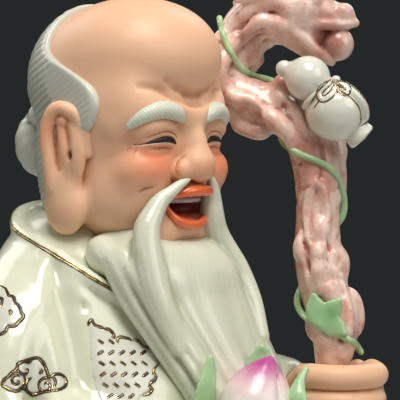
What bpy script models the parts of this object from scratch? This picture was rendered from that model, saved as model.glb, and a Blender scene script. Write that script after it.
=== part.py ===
# A porcelain statue of the old god of long life, with a peach in one hand and a dragon staff in the other.
# +Z is up and the figure faces -Y, so its left hand, with the staff, is at +X.
# The origin is at the centre of the base's underside.
#
# The forms are modelled as a potter models them. Soft lumps, rolls and draped walls are pressed
# together, hollows are pressed in, and the skin of the clay becomes the mesh. The figure is one
# casting with its base. The staff is the other, and it is pushed down through the fist.

import math

import bmesh
import bpy
import numpy as np
from mathutils import Vector

# Driving sizes, in metres.
FIGURE_HEIGHT = 0.385  # from the top of the base to the top of the bald head
BASE_HEIGHT = 0.015
BASE_HALF_WIDTH = 0.080
BASE_HALF_DEPTH = 0.074
BASE_ROUNDING = 0.003
GRIP_RADIUS = 0.0060  # the staff's shaft, which has to pass through the fist
FIST_CLEARANCE = 0.0006  # between the shaft and the bore of the fist
FOOT_GAP = 0.0003  # between the staff's foot and the base
FIGURE_TRIANGLES = 6800
STAFF_TRIANGLES = 2900
KEEP_FINE = 0.02  # how much dearer an edge of the face is to the thinning

# Every place and radius below is in parts of the figure's height: there are 385 of them.
PARTS = 385.0
PART = FIGURE_HEIGHT / PARTS
CLAY_CELL = 1.3  # spacing of the grid that the skin is read from
FAR = 1e3

# The head's centre, and the direction that the staff's crook bends in.
HEAD = np.array([0.0, -10.0, 344.0])
CROOK_TURN = math.radians(50)
ALONG = np.array([math.cos(CROOK_TURN), -math.sin(CROOK_TURN), 0.0])
AWAY = np.array([math.sin(CROOK_TURN), math.cos(CROOK_TURN), 0.0])

# The shaft's axis: from the foot on the base, through the fist, to where the gnarled wood begins.
FOOT = np.array([56.0, -56.0, 0.0])
GRIP = np.array([61.5, -65.5, 215.0])
SHAFT = (GRIP - FOOT) / np.linalg.norm(GRIP - FOOT)
FIST_LOW = 192.0
SHAFT_TOP = 236.0

GLAZE = (0.80, 0.79, 0.66, 1.0)
PINK = (0.78, 0.47, 0.38, 1.0)


# The face and the hands, where the skin is read finer.
FINE_BOXES = [
    (HEAD + [-44, -44, -56], HEAD + [44, 8, 4]),
    (np.array([-34, -100, 192]), np.array([95, -56, 246])),
]


# Curves and blends.


def curve(at, knots, values):
    """A smooth line through the values at the knots, level beyond the ends."""
    knots = np.asarray(knots, float)
    values = np.asarray(values, float)
    at = np.clip(at, knots[0], knots[-1])
    step = np.diff(knots)
    slope = np.diff(values) / step
    tangent = np.concatenate([[slope[0]], (slope[1:] + slope[:-1]) / 2, [slope[-1]]])
    i = np.clip(np.searchsorted(knots, at, side="right") - 1, 0, len(step) - 1)
    t = (at - knots[i]) / step[i]
    h = step[i]
    return (
        values[i] * (2 * t**3 - 3 * t**2 + 1)
        + tangent[i] * h * (t**3 - 2 * t**2 + t)
        + values[i + 1] * (3 * t**2 - 2 * t**3)
        + tangent[i + 1] * h * (t**3 - t**2)
    )


def path(points, radii, steps=6):
    """A list of points and of radii, made finer by a smooth curve through them."""
    points = np.asarray(points, float)
    radii = np.broadcast_to(np.asarray(radii, float), len(points))
    run = np.concatenate([[0], np.cumsum(np.linalg.norm(np.diff(points, axis=0), axis=1))])
    at = np.linspace(0, run[-1], steps * (len(points) - 1) + 1)
    fine = np.stack([curve(at, run, points[:, i]) for i in range(3)], axis=1)
    return fine, curve(at, run, radii)


def soft_min(a, b, soft):
    if soft <= 0:
        return np.minimum(a, b)
    h = np.clip(0.5 + 0.5 * (b - a) / soft, 0, 1)
    return b * (1 - h) + a * h - soft * h * (1 - h)


def soft_max(a, b, soft):
    return -soft_min(-a, -b, soft)


def turned(x_deg=0, y_deg=0, z_deg=0):
    """A rotation about X, then Y, then Z."""
    cx, sx = math.cos(math.radians(x_deg)), math.sin(math.radians(x_deg))
    cy, sy = math.cos(math.radians(y_deg)), math.sin(math.radians(y_deg))
    cz, sz = math.cos(math.radians(z_deg)), math.sin(math.radians(z_deg))
    about_x = np.array([[1, 0, 0], [0, cx, -sx], [0, sx, cx]])
    about_y = np.array([[cy, 0, sy], [0, 1, 0], [-sy, 0, cy]])
    about_z = np.array([[cz, -sz, 0], [sz, cz, 0], [0, 0, 1]])
    return about_z @ about_y @ about_x


# Forms. Each is a box and a function that gives the distance from the form's skin, negative inside.


def lump(centre, radii, turn=None):
    """An ellipsoid."""
    centre = np.asarray(centre, float)
    radii = np.asarray(radii, float)
    reach = radii if turn is None else np.full(3, radii.max())

    def distance(x, y, z):
        p = [x - centre[0], y - centre[1], z - centre[2]]
        if turn is not None:
            p = [turn[0, i] * p[0] + turn[1, i] * p[1] + turn[2, i] * p[2] for i in range(3)]
        k0 = np.sqrt(sum((p[i] / radii[i]) ** 2 for i in range(3)))
        k1 = np.sqrt(sum((p[i] / radii[i] ** 2) ** 2 for i in range(3)))
        return k0 * (k0 - 1) / np.maximum(k1, 1e-6)

    return [(centre - reach, centre + reach, distance)]


def rod(a, b, radius_a, radius_b):
    """A straight tapered roll with round ends."""
    a = np.asarray(a, float)
    b = np.asarray(b, float)
    ab = b - a
    length2 = max(float(ab @ ab), 1e-9)

    def distance(x, y, z):
        p = [x - a[0], y - a[1], z - a[2]]
        t = np.clip((p[0] * ab[0] + p[1] * ab[1] + p[2] * ab[2]) / length2, 0, 1)
        off = sum((p[i] - t * ab[i]) ** 2 for i in range(3))
        return np.sqrt(off) - (radius_a + t * (radius_b - radius_a))

    most = max(radius_a, radius_b)
    return [(np.minimum(a, b) - most, np.maximum(a, b) + most, distance)]


def roll(points, radii, steps=5):
    """A roll of clay along a smooth path."""
    fine, thick = path(points, radii, steps)
    forms = []
    for i in range(len(fine) - 1):
        forms += rod(fine[i], fine[i + 1], thick[i], thick[i + 1])
    return forms


def mirrored(points):
    """The same points on the figure's other side."""
    return [(-p[0], *p[1:]) for p in points]


class Clay:
    """A block of clay on a regular grid. What is pressed on is blended in."""

    def __init__(self, low, high, cell):
        self.cell = cell
        self.axes = [np.arange(low[i], high[i] + cell, cell) for i in range(3)]
        self.field = np.full([len(a) for a in self.axes], FAR, np.float32)

    def window(self, low, high):
        """The slices of the grid that cover a box, and the coordinates along them."""
        cut = []
        for axis, least, most in zip(self.axes, low, high):
            first = np.searchsorted(axis, least)
            last = np.searchsorted(axis, most, side="right")
            cut.append(slice(max(first, 0), max(last, first)))
        x, y, z = (axis[s] for axis, s in zip(self.axes, cut))
        return tuple(cut), (x[:, None, None], y[None, :, None], z[None, None, :])

    def stamp(self, forms, soft):
        """The window that the forms reach, and their own joint distance in it."""
        reach = soft + 3 * self.cell
        low = np.min([f[0] for f in forms], axis=0) - reach
        high = np.max([f[1] for f in forms], axis=0) + reach
        cut, _ = self.window(low, high)
        own = np.full_like(self.field[cut], FAR)
        start = [s.start for s in cut]
        for least, most, distance in forms:
            inner, xyz = self.window(least - reach, most + reach)
            local = tuple(slice(s.start - o, s.stop - o) for s, o in zip(inner, start))
            own[local] = np.minimum(own[local], distance(*xyz))
        return cut, own

    def press_on(self, forms, soft=0.0):
        cut, own = self.stamp(forms, soft)
        self.field[cut] = soft_min(self.field[cut], own, soft)

    def press_in(self, forms, soft=0.0):
        cut, own = self.stamp(forms, soft)
        self.field[cut] = soft_max(self.field[cut], -own, soft)

    def value(self, point):
        """The field at a point, or a step's worth where nothing is near."""
        at = (np.asarray(point, float) - [a[0] for a in self.axes]) / self.cell
        low = np.clip(at.astype(int), 0, np.array(self.field.shape) - 2)
        t = np.clip(at - low, 0, 1)
        box = self.field[tuple(slice(i, i + 2) for i in low)].astype(float)
        for share in t:
            box = box[0] * (1 - share) + box[1] * share
        return min(float(box), 2.0)

    def touch(self, point, toward):
        """Where a line from a point first meets the clay."""
        point = np.asarray(point, float)
        toward = np.asarray(toward, float) / np.linalg.norm(toward)
        for _ in range(400):
            gap = self.value(point)
            if gap < 0.02:
                break
            point = point + toward * max(gap * 0.7, 0.05)
        return point

    def fill_pinches(self):
        """Fills grid points where two walls of clay would meet in only an edge or a corner."""
        f = self.field
        fill = -0.05 * self.cell
        for _ in range(40):
            inside = f < 0
            changed = 0
            for u, v in ((0, 1), (1, 2), (0, 2)):
                steps = np.eye(3, dtype=int)
                shape = np.array(f.shape) - steps[u] - steps[v]
                near, far = (inside[box_at(o, shape)] for o in (0 * steps[u], steps[u] + steps[v]))
                left, right = (inside[box_at(o, shape)] for o in (steps[u], steps[v]))
                pinched = np.argwhere((near == far) & (left == right) & (near != left))
                for p in pinched:
                    pair = [p, p + steps[u] + steps[v]]
                    if inside[tuple(p)]:
                        pair = [p + steps[u], p + steps[v]]
                    lower = min(pair, key=lambda q: f[tuple(q)] if f[tuple(q)] >= 0 else FAR)
                    f[tuple(lower)] = fill
                    changed += 1
            if not changed and not self.fill_corner_pinches(fill):
                break

    def fill_corner_pinches(self, fill):
        """Fills cells in which only two opposite corners are clay, or only two are air."""
        f = self.field
        inside = f < 0
        shape = np.array(f.shape) - 1
        corners = [np.array((i, j, k)) for i in (0, 1) for j in (0, 1) for k in (0, 1)]
        count = sum(inside[box_at(c, shape)].astype(np.int8) for c in corners)
        changed = 0
        for corner in corners[:4]:
            ends = inside[box_at(corner, shape)], inside[box_at(1 - corner, shape)]
            for p in np.argwhere((count == 2) & ends[0] & ends[1]):
                for c in corners:
                    f[tuple(p + c)] = min(f[tuple(p + c)], fill)
                changed += 1
            for p in np.argwhere((count == 6) & ~ends[0] & ~ends[1]):
                f[tuple(p + corner)] = fill
                changed += 1
        return changed

    def skin(self):
        """Points and four-sided faces of the skin: a point in each crossed cell, a face at each edge."""
        self.fill_pinches()
        f = self.field
        inside = f < 0
        low = tuple(slice(0, -1) for _ in range(3))
        count = np.zeros([n - 1 for n in f.shape], np.int8)
        corners = [(i, j, k) for i in (0, 1) for j in (0, 1) for k in (0, 1)]
        for i, j, k in corners:
            count += inside[i : i + f.shape[0] - 1, j : j + f.shape[1] - 1, k : k + f.shape[2] - 1]
        cells = np.argwhere((count > 0) & (count < 8))
        number = np.full(count.shape, -1, np.int32)
        number[tuple(cells.T)] = np.arange(len(cells))
        values = {c: f[tuple((cells + c).T)] for c in corners}
        total = np.zeros((len(cells), 3))
        hits = np.zeros(len(cells))
        for a in corners:
            for axis in range(3):
                if a[axis]:
                    continue
                b = tuple(1 if i == axis else a[i] for i in range(3))
                crossed = (values[a] < 0) != (values[b] < 0)
                t = values[a][crossed] / (values[a][crossed] - values[b][crossed])
                at = np.tile(np.array(a, float), (len(t), 1))
                at[:, axis] = t
                total[crossed] += at
                hits[crossed] += 1
        points = (cells + total / hits[:, None]) * self.cell + [a[0] for a in self.axes]
        faces = []
        for axis in range(3):
            u, v = (axis + 1) % 3, (axis + 2) % 3
            first = inside[low]
            ahead = [slice(0, -1)] * 3
            ahead[axis] = slice(1, None)
            second = inside[tuple(ahead)]
            edges = np.argwhere(first != second)
            edges = edges[(edges[:, u] > 0) & (edges[:, v] > 0)]
            leaving = first[tuple(edges.T)]
            around = []
            for du, dv in ((-1, -1), (0, -1), (0, 0), (-1, 0)):
                cell = edges.copy()
                cell[:, u] += du
                cell[:, v] += dv
                around.append(number[tuple(cell.T)])
            quads = np.stack(around, axis=1)
            quads[~leaving] = quads[~leaving][:, ::-1]
            faces.append(quads)
        return outer_skin(points, np.concatenate(faces))


def box_at(corner, shape):
    return tuple(slice(c, c + n) for c, n in zip(corner, shape))


def outer_skin(points, faces):
    """Only the largest connected skin: crumbs of clay and bubbles in it are left out."""
    label = np.arange(len(points))
    while True:
        least = label[faces].min(axis=1)
        new = label.copy()
        for i in range(4):
            np.minimum.at(new, faces[:, i], least)
        new = new[new]
        if (new == label).all():
            break
        label = new
    kept = label == np.bincount(label).argmax()
    index = np.cumsum(kept) - 1
    return points[kept], index[faces[kept[faces[:, 0]]]]


# Places. The head's own coordinates start at its centre. The crook's are along it, up, and away.


def on_head(points):
    return [tuple(np.asarray(p[:3]) + HEAD) + tuple(p[3:]) for p in points]


def head_lump(centre, radii, turn=None):
    return lump(np.asarray(centre) + HEAD, radii, turn)


def head_roll(points, radii):
    return roll(on_head(points), radii)


def crook(along, up, away):
    return HEAD + along * ALONG + away * AWAY + np.array([0, 0, up])


# The figure.


def robe():
    """The long robe as one draped wall round the body, with folds that deepen towards the hem."""
    levels = [-6, 0, 30, 80, 130, 170, 200, 230, 252, 268.5, 280, 290, 299]
    half_width = [66, 66, 61, 55, 54, 57, 61, 62, 60, 56, 49, 38, 25]
    half_depth = [56, 56, 51, 45, 47, 51, 52, 50, 43, 38, 33, 28, 21]
    middle = [0, 0, 0, 0, -2, -6, -6, -3, 4, 8, 11, 13, 15]
    top = 299.0

    def distance(x, y, z):
        a = curve(z, levels, half_width)
        b = curve(z, levels, half_depth)
        y = y - curve(z, levels, middle)
        rho = np.sqrt((x / a) ** 2 + (y / b) ** 2)
        angle = np.arctan2(x, -y)
        drop = np.clip((165 - z) / 165, 0, 1)
        wander = angle + 0.10 * np.sin(3 * angle + 1.0) + 0.05 * np.sin(z / 28)
        pleats = np.cos(13 * wander) * (0.6 + 2.6 * drop) * np.clip((215 - z) / 60, 0, 1)
        own = (rho - 1) * np.minimum(a, b) - pleats * np.clip(rho, 0, 1)
        return soft_max(own * 0.9, z - top, 6.0)

    return [(np.array([-80, -70, -6.0]), np.array([80, 70, top]), distance)]


def base():
    """A low plinth of rounded outline. Its underside is cut flat once the skin is read."""
    half_width = BASE_HALF_WIDTH / PART
    half_depth = BASE_HALF_DEPTH / PART
    height = BASE_HEIGHT / PART
    rounding = BASE_ROUNDING / PART

    def distance(x, y, z):
        squareness = 3.0
        rho = (np.abs(x / half_width) ** squareness + np.abs(y / half_depth) ** squareness)
        side = (rho ** (1 / squareness) - 1) * min(half_width, half_depth)
        return soft_max(soft_max(side, z, rounding), -z - 2 * height, 0)

    low = np.array([-half_width, -half_depth, -2 * height])
    return [(low, -low * np.array([1, 1, 0]), distance)]


BEARD_LEVELS = [-190, -178, -160, -140, -119, -98, -80, -67, -58, -50, -42]


def beard():
    """The long beard, hung from the jaw and laid over the chest, with soft locks down to its tip."""
    levels = BEARD_LEVELS
    half_width = [2, 8, 15, 22, 28, 31.5, 35, 36, 33, 25, 14]
    half_depth = [2, 5, 8, 9.5, 11.5, 14.5, 18, 20.5, 19.5, 12, 4]
    across = [16, 15.5, 15, 13, 10, 5, 2, 0.5, 0, 0, 0]
    forward = [-57, -57, -56, -53, -48, -37, -26.5, -20, -14, -11, -9]
    low, high = HEAD + [-40, -72, -192], HEAD + [42, 12, -42]

    def distance(x, y, z):
        z = z - HEAD[2]
        a = curve(z, levels, half_width)
        b = curve(z, levels, half_depth)
        x = x - HEAD[0] - curve(z, levels, across)
        y = y - HEAD[1] - curve(z, levels, forward)
        rho = np.sqrt((x / a) ** 2 + (y / b) ** 2)
        side = np.arctan2(x / a, -y / b)
        sway = side + 0.10 * np.sin(z / 22 + 2.5 * side)
        locks = 0.55 * np.cos(7 * sway + 0.6) + 0.3 * np.cos(17 * sway + 1.0)
        depth = np.clip((-56 - z) / 25, 0, 1) * np.clip(b / 11, 0, 1)
        own = (rho - 1) * np.minimum(a, b) - depth * locks
        return soft_max(own * 0.85, z + 52, 3.0)

    return [(low, high, distance)]


HAIRLINE_UP = [-70, -26, -19, -14, -8, -2, 4, 9, 14, 19, 25, 60]
HAIRLINE_BACK = [13, 13, 5, -3, -8, -8.5, -5, 3, 12, 18, 20, 20]


def press_hair(clay):
    """Combed-back hair as a thicker skin, behind a hairline that comes forward above the ears."""
    cut, (x, y, z) = clay.window(HEAD + [-46, -16, -66], HEAD + [46, 56, 46])
    x, y, z = x - HEAD[0], y - HEAD[1], z - HEAD[2]
    nape = lump((0, 17, -24), (30, 27, 40))[0][2](x, y, z)
    own = soft_min(clay.field[cut] - 2.6, nape, 8)
    locks = np.cos((z + 0.42 * y + 3 * np.sin(y / 9)) * 2 * math.pi / 5.2)
    front = curve(z, HAIRLINE_UP, HAIRLINE_BACK) - y
    own = own - 0.45 * locks * np.clip((1.5 - front) / 3, 0, 1)
    own = soft_max(own, front * 0.75, 3.5)
    clay.field[cut] = soft_min(clay.field[cut], own, 0.4)


def bun():
    """The knot of hair at the back of the head: a low lobe, a high one and the band between."""
    return [
        (head_lump((-1, 53, -19), (14, 10.5, 15)), 2.5),
        (head_lump((-1, 49, 5), (10.5, 8.5, 13)), 2.5),
        (head_roll([(-9, 48, -7), (0, 54, -6), (8, 48, -7)], 4.5), 1.5),
    ]


def skull():
    """The lumps of the bald dome and the face, each with how softly it blends in."""
    lumps = [
        (head_lump((0, 8, 8), (35, 37, 32)), 0),
        (head_lump((0, -5, 16), (33, 31.5, 25)), 6),
        (head_lump((0, -1.5, -17), (33, 30.5, 41)), 7),
        (head_lump((0, 12, -40), (26, 24, 30)), 10),
        (head_roll([(0, -27, -6), (0, -32.5, -15), (0, -34.5, -25)], [4, 4, 5.5]), 5),
        (head_lump((0, -33.5, -27.5), (8.2, 7.2, 7.0)), 3),
        (head_lump((0, -25, -50), (13, 6.5, 8)), 6),
    ]
    for side in (-1, 1):
        brow_bone = [(27, -14, -11), (19, -25, -5), (9, -30, -4.5), (4, -30.5, -7)]
        lumps += [
            (head_lump((side * 22, -6, -4), (11.5, 22, 16)), 8),
            (head_roll([(side * x, y, z) for x, y, z in brow_bone], 4.2), 5),
            (head_lump((side * 14.5, -23.5, -14), (11, 7, 8)), 4),
            (head_lump((side * 18, -20.5, -29), (12, 11, 10)), 4),
            (head_lump((side * 16, -8, -40), (16, 19, 17)), 7),
            (head_lump((side * 7.3, -31.5, -29), (4.4, 4.8, 4.6)), 1.8),
        ]
    return lumps


def on_face(clay, points, lift=0.0):
    """Places on the front of the face, given across and up, and lifted off its skin."""
    found = []
    for x, z in points:
        place = clay.touch(HEAD + [x, -62, z], (0, 1, 0))
        found.append(place - [0, lift, 0])
    return found


EYE_SLIT = [(9.5, -18.4), (12, -16.5), (15.5, -15.4), (19, -17.4), (22.5, -18.9), (26.5, -18.0)]


def press_eyes(clay):
    """Smiling eyes: full lids that close to an arched slit, over a fold."""
    for side in (-1, 1):
        slit = on_face(clay, [(side * x, z) for x, z in EYE_SLIT], 0.3)
        upper = on_face(clay, [(side * x, z + 1.7) for x, z in EYE_SLIT], -0.2)
        lower = on_face(clay, [(side * x, z - 2.3) for x, z in EYE_SLIT], -0.2)
        cheek = ((6, -23), (12, -25), (18, -24.5), (24, -20.5))
        fold = on_face(clay, [(side * x, z) for x, z in cheek], 0.8)
        clay.press_on(roll(upper, [0.8, 1.4, 1.6, 1.5, 1.0, 0.6]), 1.2)
        clay.press_on(roll(lower, [0.9, 1.6, 1.8, 1.5, 1.0, 0.6]), 1.2)
        clay.press_in(roll(fold, [0.6, 1.4, 1.4, 0.6]), 1.5)
        clay.press_in(roll(slit, [0.5, 1.2, 1.3, 0.9, 0.5, 0.3]), 0.5)


BROW = [(5.0, -8.0), (10.5, -5.4), (16.5, -4.2), (23, -7.2), (28.5, -14.0)]


def press_brows(clay):
    for side in (-1, 1):
        brow = on_face(clay, [(side * x, z) for x, z in BROW], -0.6)
        clay.press_on(roll(brow, [1.7, 2.8, 3.1, 2.7, 1.3]), 1.0)


def press_mouth(clay):
    """The laughing mouth: open, between a bowed upper lip and a round lower one."""
    clay.press_in(head_lump((0, -33, -43.6), (10.5, 8, 5.4)), 2)
    upper = [(12.5, -30.5, -39.8), (6.5, -34.4, -37.6), (0, -35.8, -37.2)]
    upper += mirrored(upper[-2::-1])
    lower = [(12.5, -28.0, -41.5), (9.5, -30.0, -46.5), (5, -31.6, -49.4), (0, -32.2, -50.2)]
    lower += mirrored(lower[-2::-1])
    clay.press_on(head_roll(upper, [0.8, 2.0, 2.1, 2.0, 0.8]), 1.0)
    clay.press_on(head_roll(lower, [0.8, 1.6, 2.0, 2.2, 2.0, 1.6, 0.8]), 1.0)
    clay.press_on(head_roll([(-9, -27, -41), (0, -29.5, -40.5), (9, -27, -41)], 2.2), 0.3)


MOUSTACHE = {
    # across, forward, up, radius
    "right": [
        (-8.0, -35.0, -33.3, 1.3),
        (-12.8, -32.5, -37.6, 2.7),
        (-18.0, -29.6, -41.7, 3.9),
        (-21.0, -29.1, -46.5, 4.5),
        (-23.5, -28.7, -55.0, 4.6),
        (-26.5, -33.8, -71.0, 4.8),
        (-25.0, -38.5, -84.0, 4.2),
        (-21.5, -42.0, -97.0, 3.0),
    ],
    "left": [
        (7.5, -34.6, -33.3, 1.3),
        (11.5, -33.0, -37.5, 2.5),
        (15.5, -31.0, -42.0, 3.4),
        (18.0, -30.0, -47.0, 3.9),
        (20.5, -30.0, -55.0, 4.2),
        (26.0, -35.0, -71.0, 4.6),
        (27.5, -40.5, -84.0, 4.2),
        (26.0, -46.5, -97.0, 3.0),
    ],
}


def moustache():
    """Two long locks from beside the nose, round the mouth and down into the beard."""
    locks = MOUSTACHE.values()
    return [(head_roll([p[:3] for p in lock], [p[3] for p in lock]), 2.5) for lock in locks]


def ears():
    """The long-lobed ears, on both sides. Each has a rolled rim, a hollow and a heavy lobe."""
    rim = [
        (33, -4.5, -22, 2.2),
        (34.5, -4.5, -13, 2.5),
        (37, -0.5, -6.0, 2.9),
        (39.5, 5.5, -4.5, 3.1),
        (40.5, 10, -11, 3.0),
        (40, 10, -24, 2.8),
        (38, 9.0, -36, 3.5),
    ]
    on, in_, inner = [], [], []
    for side in (-1, 1):
        points = [(side * x, y, z) for x, y, z, _ in rim]
        on.append((head_lump((side * 34.5, 3.2, -20), (4.5, 9, 17), turned(z_deg=side * 12)), 1.5))
        on.append((head_lump((side * 34.5, 6.0, -43.5), (6.6, 9.8, 11.5)), 5))
        on.append((head_lump((side * 35.0, 8.0, -34), (4.6, 6.4, 9)), 4))
        on.append((head_roll(points, [p[3] for p in rim]), 1.2))
        in_.append((head_lump((side * 42.0, 2.6, -18), (4.6, 5.0, 12.5), turned(z_deg=side * 12)), 1.0))
        fold = [(side * 38, 4.5, -12), (side * 37, 3.0, -22), (side * 36, 1.5, -31)]
        inner.append((head_roll(fold, [2.0, 2.8, 2.4]), 1.0))
        inner.append((head_lump((side * 38.5, 4.0, -9.5), (2.0, 2.8, 2.4)), 0.6))
    return on, in_, inner


def collar():
    """The two crossed edges of the robe, round the neck and down under the beard."""
    edge = [(0, 40, 298), (-20, 36, 296), (-36, 22, 290), (-42, 0, 283)]
    edge += [(-40, -13, 277), (-31, -26, 267), (0, -40, 248)]
    forms = []
    for points in (edge, mirrored(edge)):
        forms.append((roll(points, 3.2), 1.5))
    return forms


def sleeves():
    """Both arms in their wide sleeves, which hang in a deep bag below the forearm."""
    right_arm = [(-40, 8, 258), (-54, 4, 245), (-66, -4, 222)]
    right_arm += [(-62, -28, 210), (-44, -50, 208), (-31, -62, 208)]
    left_arm = [(40, 8, 258), (54, 5, 245), (67, 2, 224), (72, -14, 216), (71, -34, 216)]
    drape = roll([(-68, -4, 205), (-63, -28, 200), (-45, -50, 198)], [20, 17, 11])
    return [
        (roll(right_arm, [22, 25, 23, 19, 15, 13.5]), 10),
        (roll(left_arm, [22, 25, 21, 17, 14]), 10),
        (drape, 8),
        (lump((-62, -24, 165), (13, 30, 50), turned(z_deg=-32)), 9),
        (lump((-46, -46, 182), (9, 16, 30), turned(x_deg=10, z_deg=-38)), 7),
        (lump((69, -8, 168), (13, 26, 50), turned(z_deg=4)), 9),
    ]


def cuff_hollows():
    """The mouths of the sleeves."""
    return [
        (rod((-27, -66, 208), (-40, -55, 206), 10.5, 8), 1.0),
        (rod((70.5, -46, 215), (71.5, -30, 212), 11, 8), 1.0),
    ]


def sleeve_folds():
    """Soft hollows that the sleeves and the chest fold into."""
    right = [
        [(-60, -20, 262), (-70, -24, 235), (-72, -22, 215)],
        [(-50, -36, 246), (-58, -42, 225), (-52, -50, 212)],
        [(-78, -12, 200), (-76, -18, 170), (-70, -22, 140)],
        [(-66, -42, 196), (-68, -40, 170), (-64, -36, 145)],
        [(-28, -50, 262), (-38, -58, 240), (-40, -60, 225)],
    ]
    left = [
        [(66, -16, 258), (80, -14, 236), (84, -10, 215)],
        [(84, -4, 200), (83, -2, 170), (80, -2, 140)],
        [(78, -32, 200), (80, -28, 170), (77, -24, 140)],
        [(30, -50, 262), (42, -54, 240), (50, -50, 222)],
    ]
    return [(roll(points, [3, 4.5, 3]), 5) for points in right + left]


def finger(points, radius):
    return roll(points, radius, steps=4)


def on_grip(right, near, z):
    """A point beside the shaft: right along the crook, near the viewer of that side, at a height."""
    axis = FOOT + SHAFT * ((z - FOOT[2]) / SHAFT[2])
    return axis + right * ALONG - near * AWAY


def fist():
    """The left hand, closed round the staff, thumb up."""
    forms = [
        (rod(on_grip(-4, -30, 215), on_grip(6, -14, 215), 10, 11), 4),
        (lump(on_grip(13, -8, 214), (9, 9, 18)), 4),
        (lump(on_grip(17, 0, 214), (7, 7, 17.5)), 3),
    ]
    for i, z in enumerate((227.6, 217.4, 207.4, 198.4)):
        size = 5.3 - 0.3 * i
        back = 1.2 * i
        turn = [(18, -3), (18.5, 6), (11, 12), (0, 13), (-9.5 + back, 8.5)]
        forms.append((finger([on_grip(r, n, z) for r, n in turn], size), 0.8))
    thumb = [on_grip(-12, -18, 216), on_grip(-13.5, -9, 221), on_grip(-11, -1, 227)]
    forms.append((finger(thumb, [6, 5.2, 4.4]), 1.5))
    return forms


def peach_hand():
    """The right hand, held out flat under the peach with the fingers curled up in front."""
    forms = [
        (rod((-32, -62, 206), (-16, -72, 204), 9, 9), 4),
        (lump((-8, -75, 203), (15, 12, 6.5)), 4),
    ]
    for i, y in enumerate((-88, -80.5, -73, -66)):
        tip = 13 - 0.6 * abs(i - 1)
        points = [(-4, y + 3, 203), (7, y, 203), (tip, y, 209), (tip - 1, y + 1, 215)]
        forms.append((finger(points, [4.6, 4.6, 4.2, 3.6]), 1.0))
    forms.append((finger([(-18, -78, 206), (-19, -87, 210), (-15, -91, 216)], [5, 4.8, 4]), 1.2))
    return forms


PEACH = np.array([-4.0, -77.0, 221.5])


def peach():
    """The peach of long life: round, with a leaning point."""
    return [
        (lump(PEACH, (15.5, 14, 14.5)), 1.0),
        (roll([PEACH + [1, -1, 6], PEACH + [2.5, -2.5, 13], PEACH + [4, -4, 18.5]], [11, 6, 1.4]), 3.0),
    ]


def leaf(points, half_widths, thickness, face):
    """A blade along a smooth path, as wide as given at each point and flat across its face."""
    fine, width = path(points, half_widths, 4)
    face = np.asarray(face, float)
    forms = []
    for i in range(len(fine)):
        run = fine[min(i + 1, len(fine) - 1)] - fine[max(i - 1, 0)]
        length = max(float(np.linalg.norm(run)), 1.0)
        run = run / length
        across = np.cross(face, run)
        across = across / np.linalg.norm(across)
        turn = np.stack([across, np.cross(run, across), run], axis=1)
        forms += lump(fine[i], (max(width[i], thickness), thickness, max(0.8 * length, 1.2)), turn)
    return forms


def peach_leaves():
    """The peach's leaves: one on each side and one behind the point."""
    toward = -AWAY
    left = [(27, -137, -46), (28.3, -125, -49), (29, -115, -50), (30.8, -106, -48), (31, -101.5, -47)]
    right = [(63, -137, -50), (64.2, -125, -52), (64.2, -116.5, -51), (65.4, -111, -48), (68, -106, -45)]
    behind = [(51, -125, -33), (51.2, -114.5, -34), (50.8, -107, -34), (51.6, -101.5, -33), (51.8, -99, -33)]
    left, right, behind = ([crook(*p) for p in blade] for blade in (left, right, behind))
    return [
        (leaf(left, [6.2, 6.0, 4.6, 3.0, 1.4], 1.5, toward + 0.5 * ALONG), 0.8),
        (leaf(right, [6.0, 5.6, 4.4, 2.4, 0.9], 1.5, toward - 0.2 * ALONG), 0.8),
        (leaf(behind, [7.0, 7.2, 6.2, 3.8, 1.8], 1.5, toward), 0.8),
    ]


def shoes():
    """The tips of the shoes under the hem."""
    return [
        (lump((-24, -58, 5), (14, 16, 9)), 2),
        (lump((24, -57, 5), (14, 16, 9)), 2),
    ]


def sash():
    """The knotted sash, which hangs below the beard."""
    ends = [(-6, -57, 158), (-9, -55, 110), (-12, -56, 62)]
    other = [(8, -57, 158), (10, -55, 115), (13, -56, 78)]
    return [
        (roll(ends, [4, 5.5, 6.5]), 2),
        (roll(other, [4, 5.5, 6.5]), 2),
    ]


# The staff.


STEM = [
    # along, up from the head's centre, away, radius
    (83.2, -112.0, 10.5, 6.2),
    (84.4, -105.0, 11.0, 8.8),
    (84.0, -94.6, 12.0, 10.2),
    (79.8, -80.0, 14.0, 10.3),
    (77.6, -66.0, 15.5, 10.2),
    (77.4, -52.0, 17.0, 9.3),
    (77.3, -41.7, 18.0, 9.2),
    (76.8, -27.5, 19.5, 10.2),
    (71.5, -14.0, 21.0, 9.8),
    (61.5, -5.0, 23.0, 9.6),
    (50.5, -1.0, 25.5, 9.6),
    (41.8, 4.0, 28.0, 9.0),
    (39.6, 13.0, 29.0, 9.0),
    (42.3, 23.0, 29.0, 9.4),
    (47.5, 32.0, 28.5, 10.0),
    (58.5, 40.0, 27.0, 10.0),
    (67.0, 38.5, 26.0, 9.6),
]
SNOUT_AWAY = 25.0


def stem():
    """The gnarled wood, from above the fist, round the crook, to the dragon's neck."""
    points = [crook(*p[:3]) for p in STEM]
    return roll(points, [p[3] for p in STEM], steps=4)


def shaft():
    """The slim straight shaft that stands on the base and passes through the fist."""
    grip = GRIP_RADIUS / PART
    top = FOOT + SHAFT * (SHAFT_TOP / SHAFT[2])
    return rod(FOOT - 6 * SHAFT, top, grip, grip)


def near_side(clay, points, lift=0.0):
    """Places on the side of the staff that the gourd hangs on, given along and up, and lifted off."""
    return [clay.touch(crook(along, up, -40), AWAY) - lift * AWAY for along, up in points]


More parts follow.
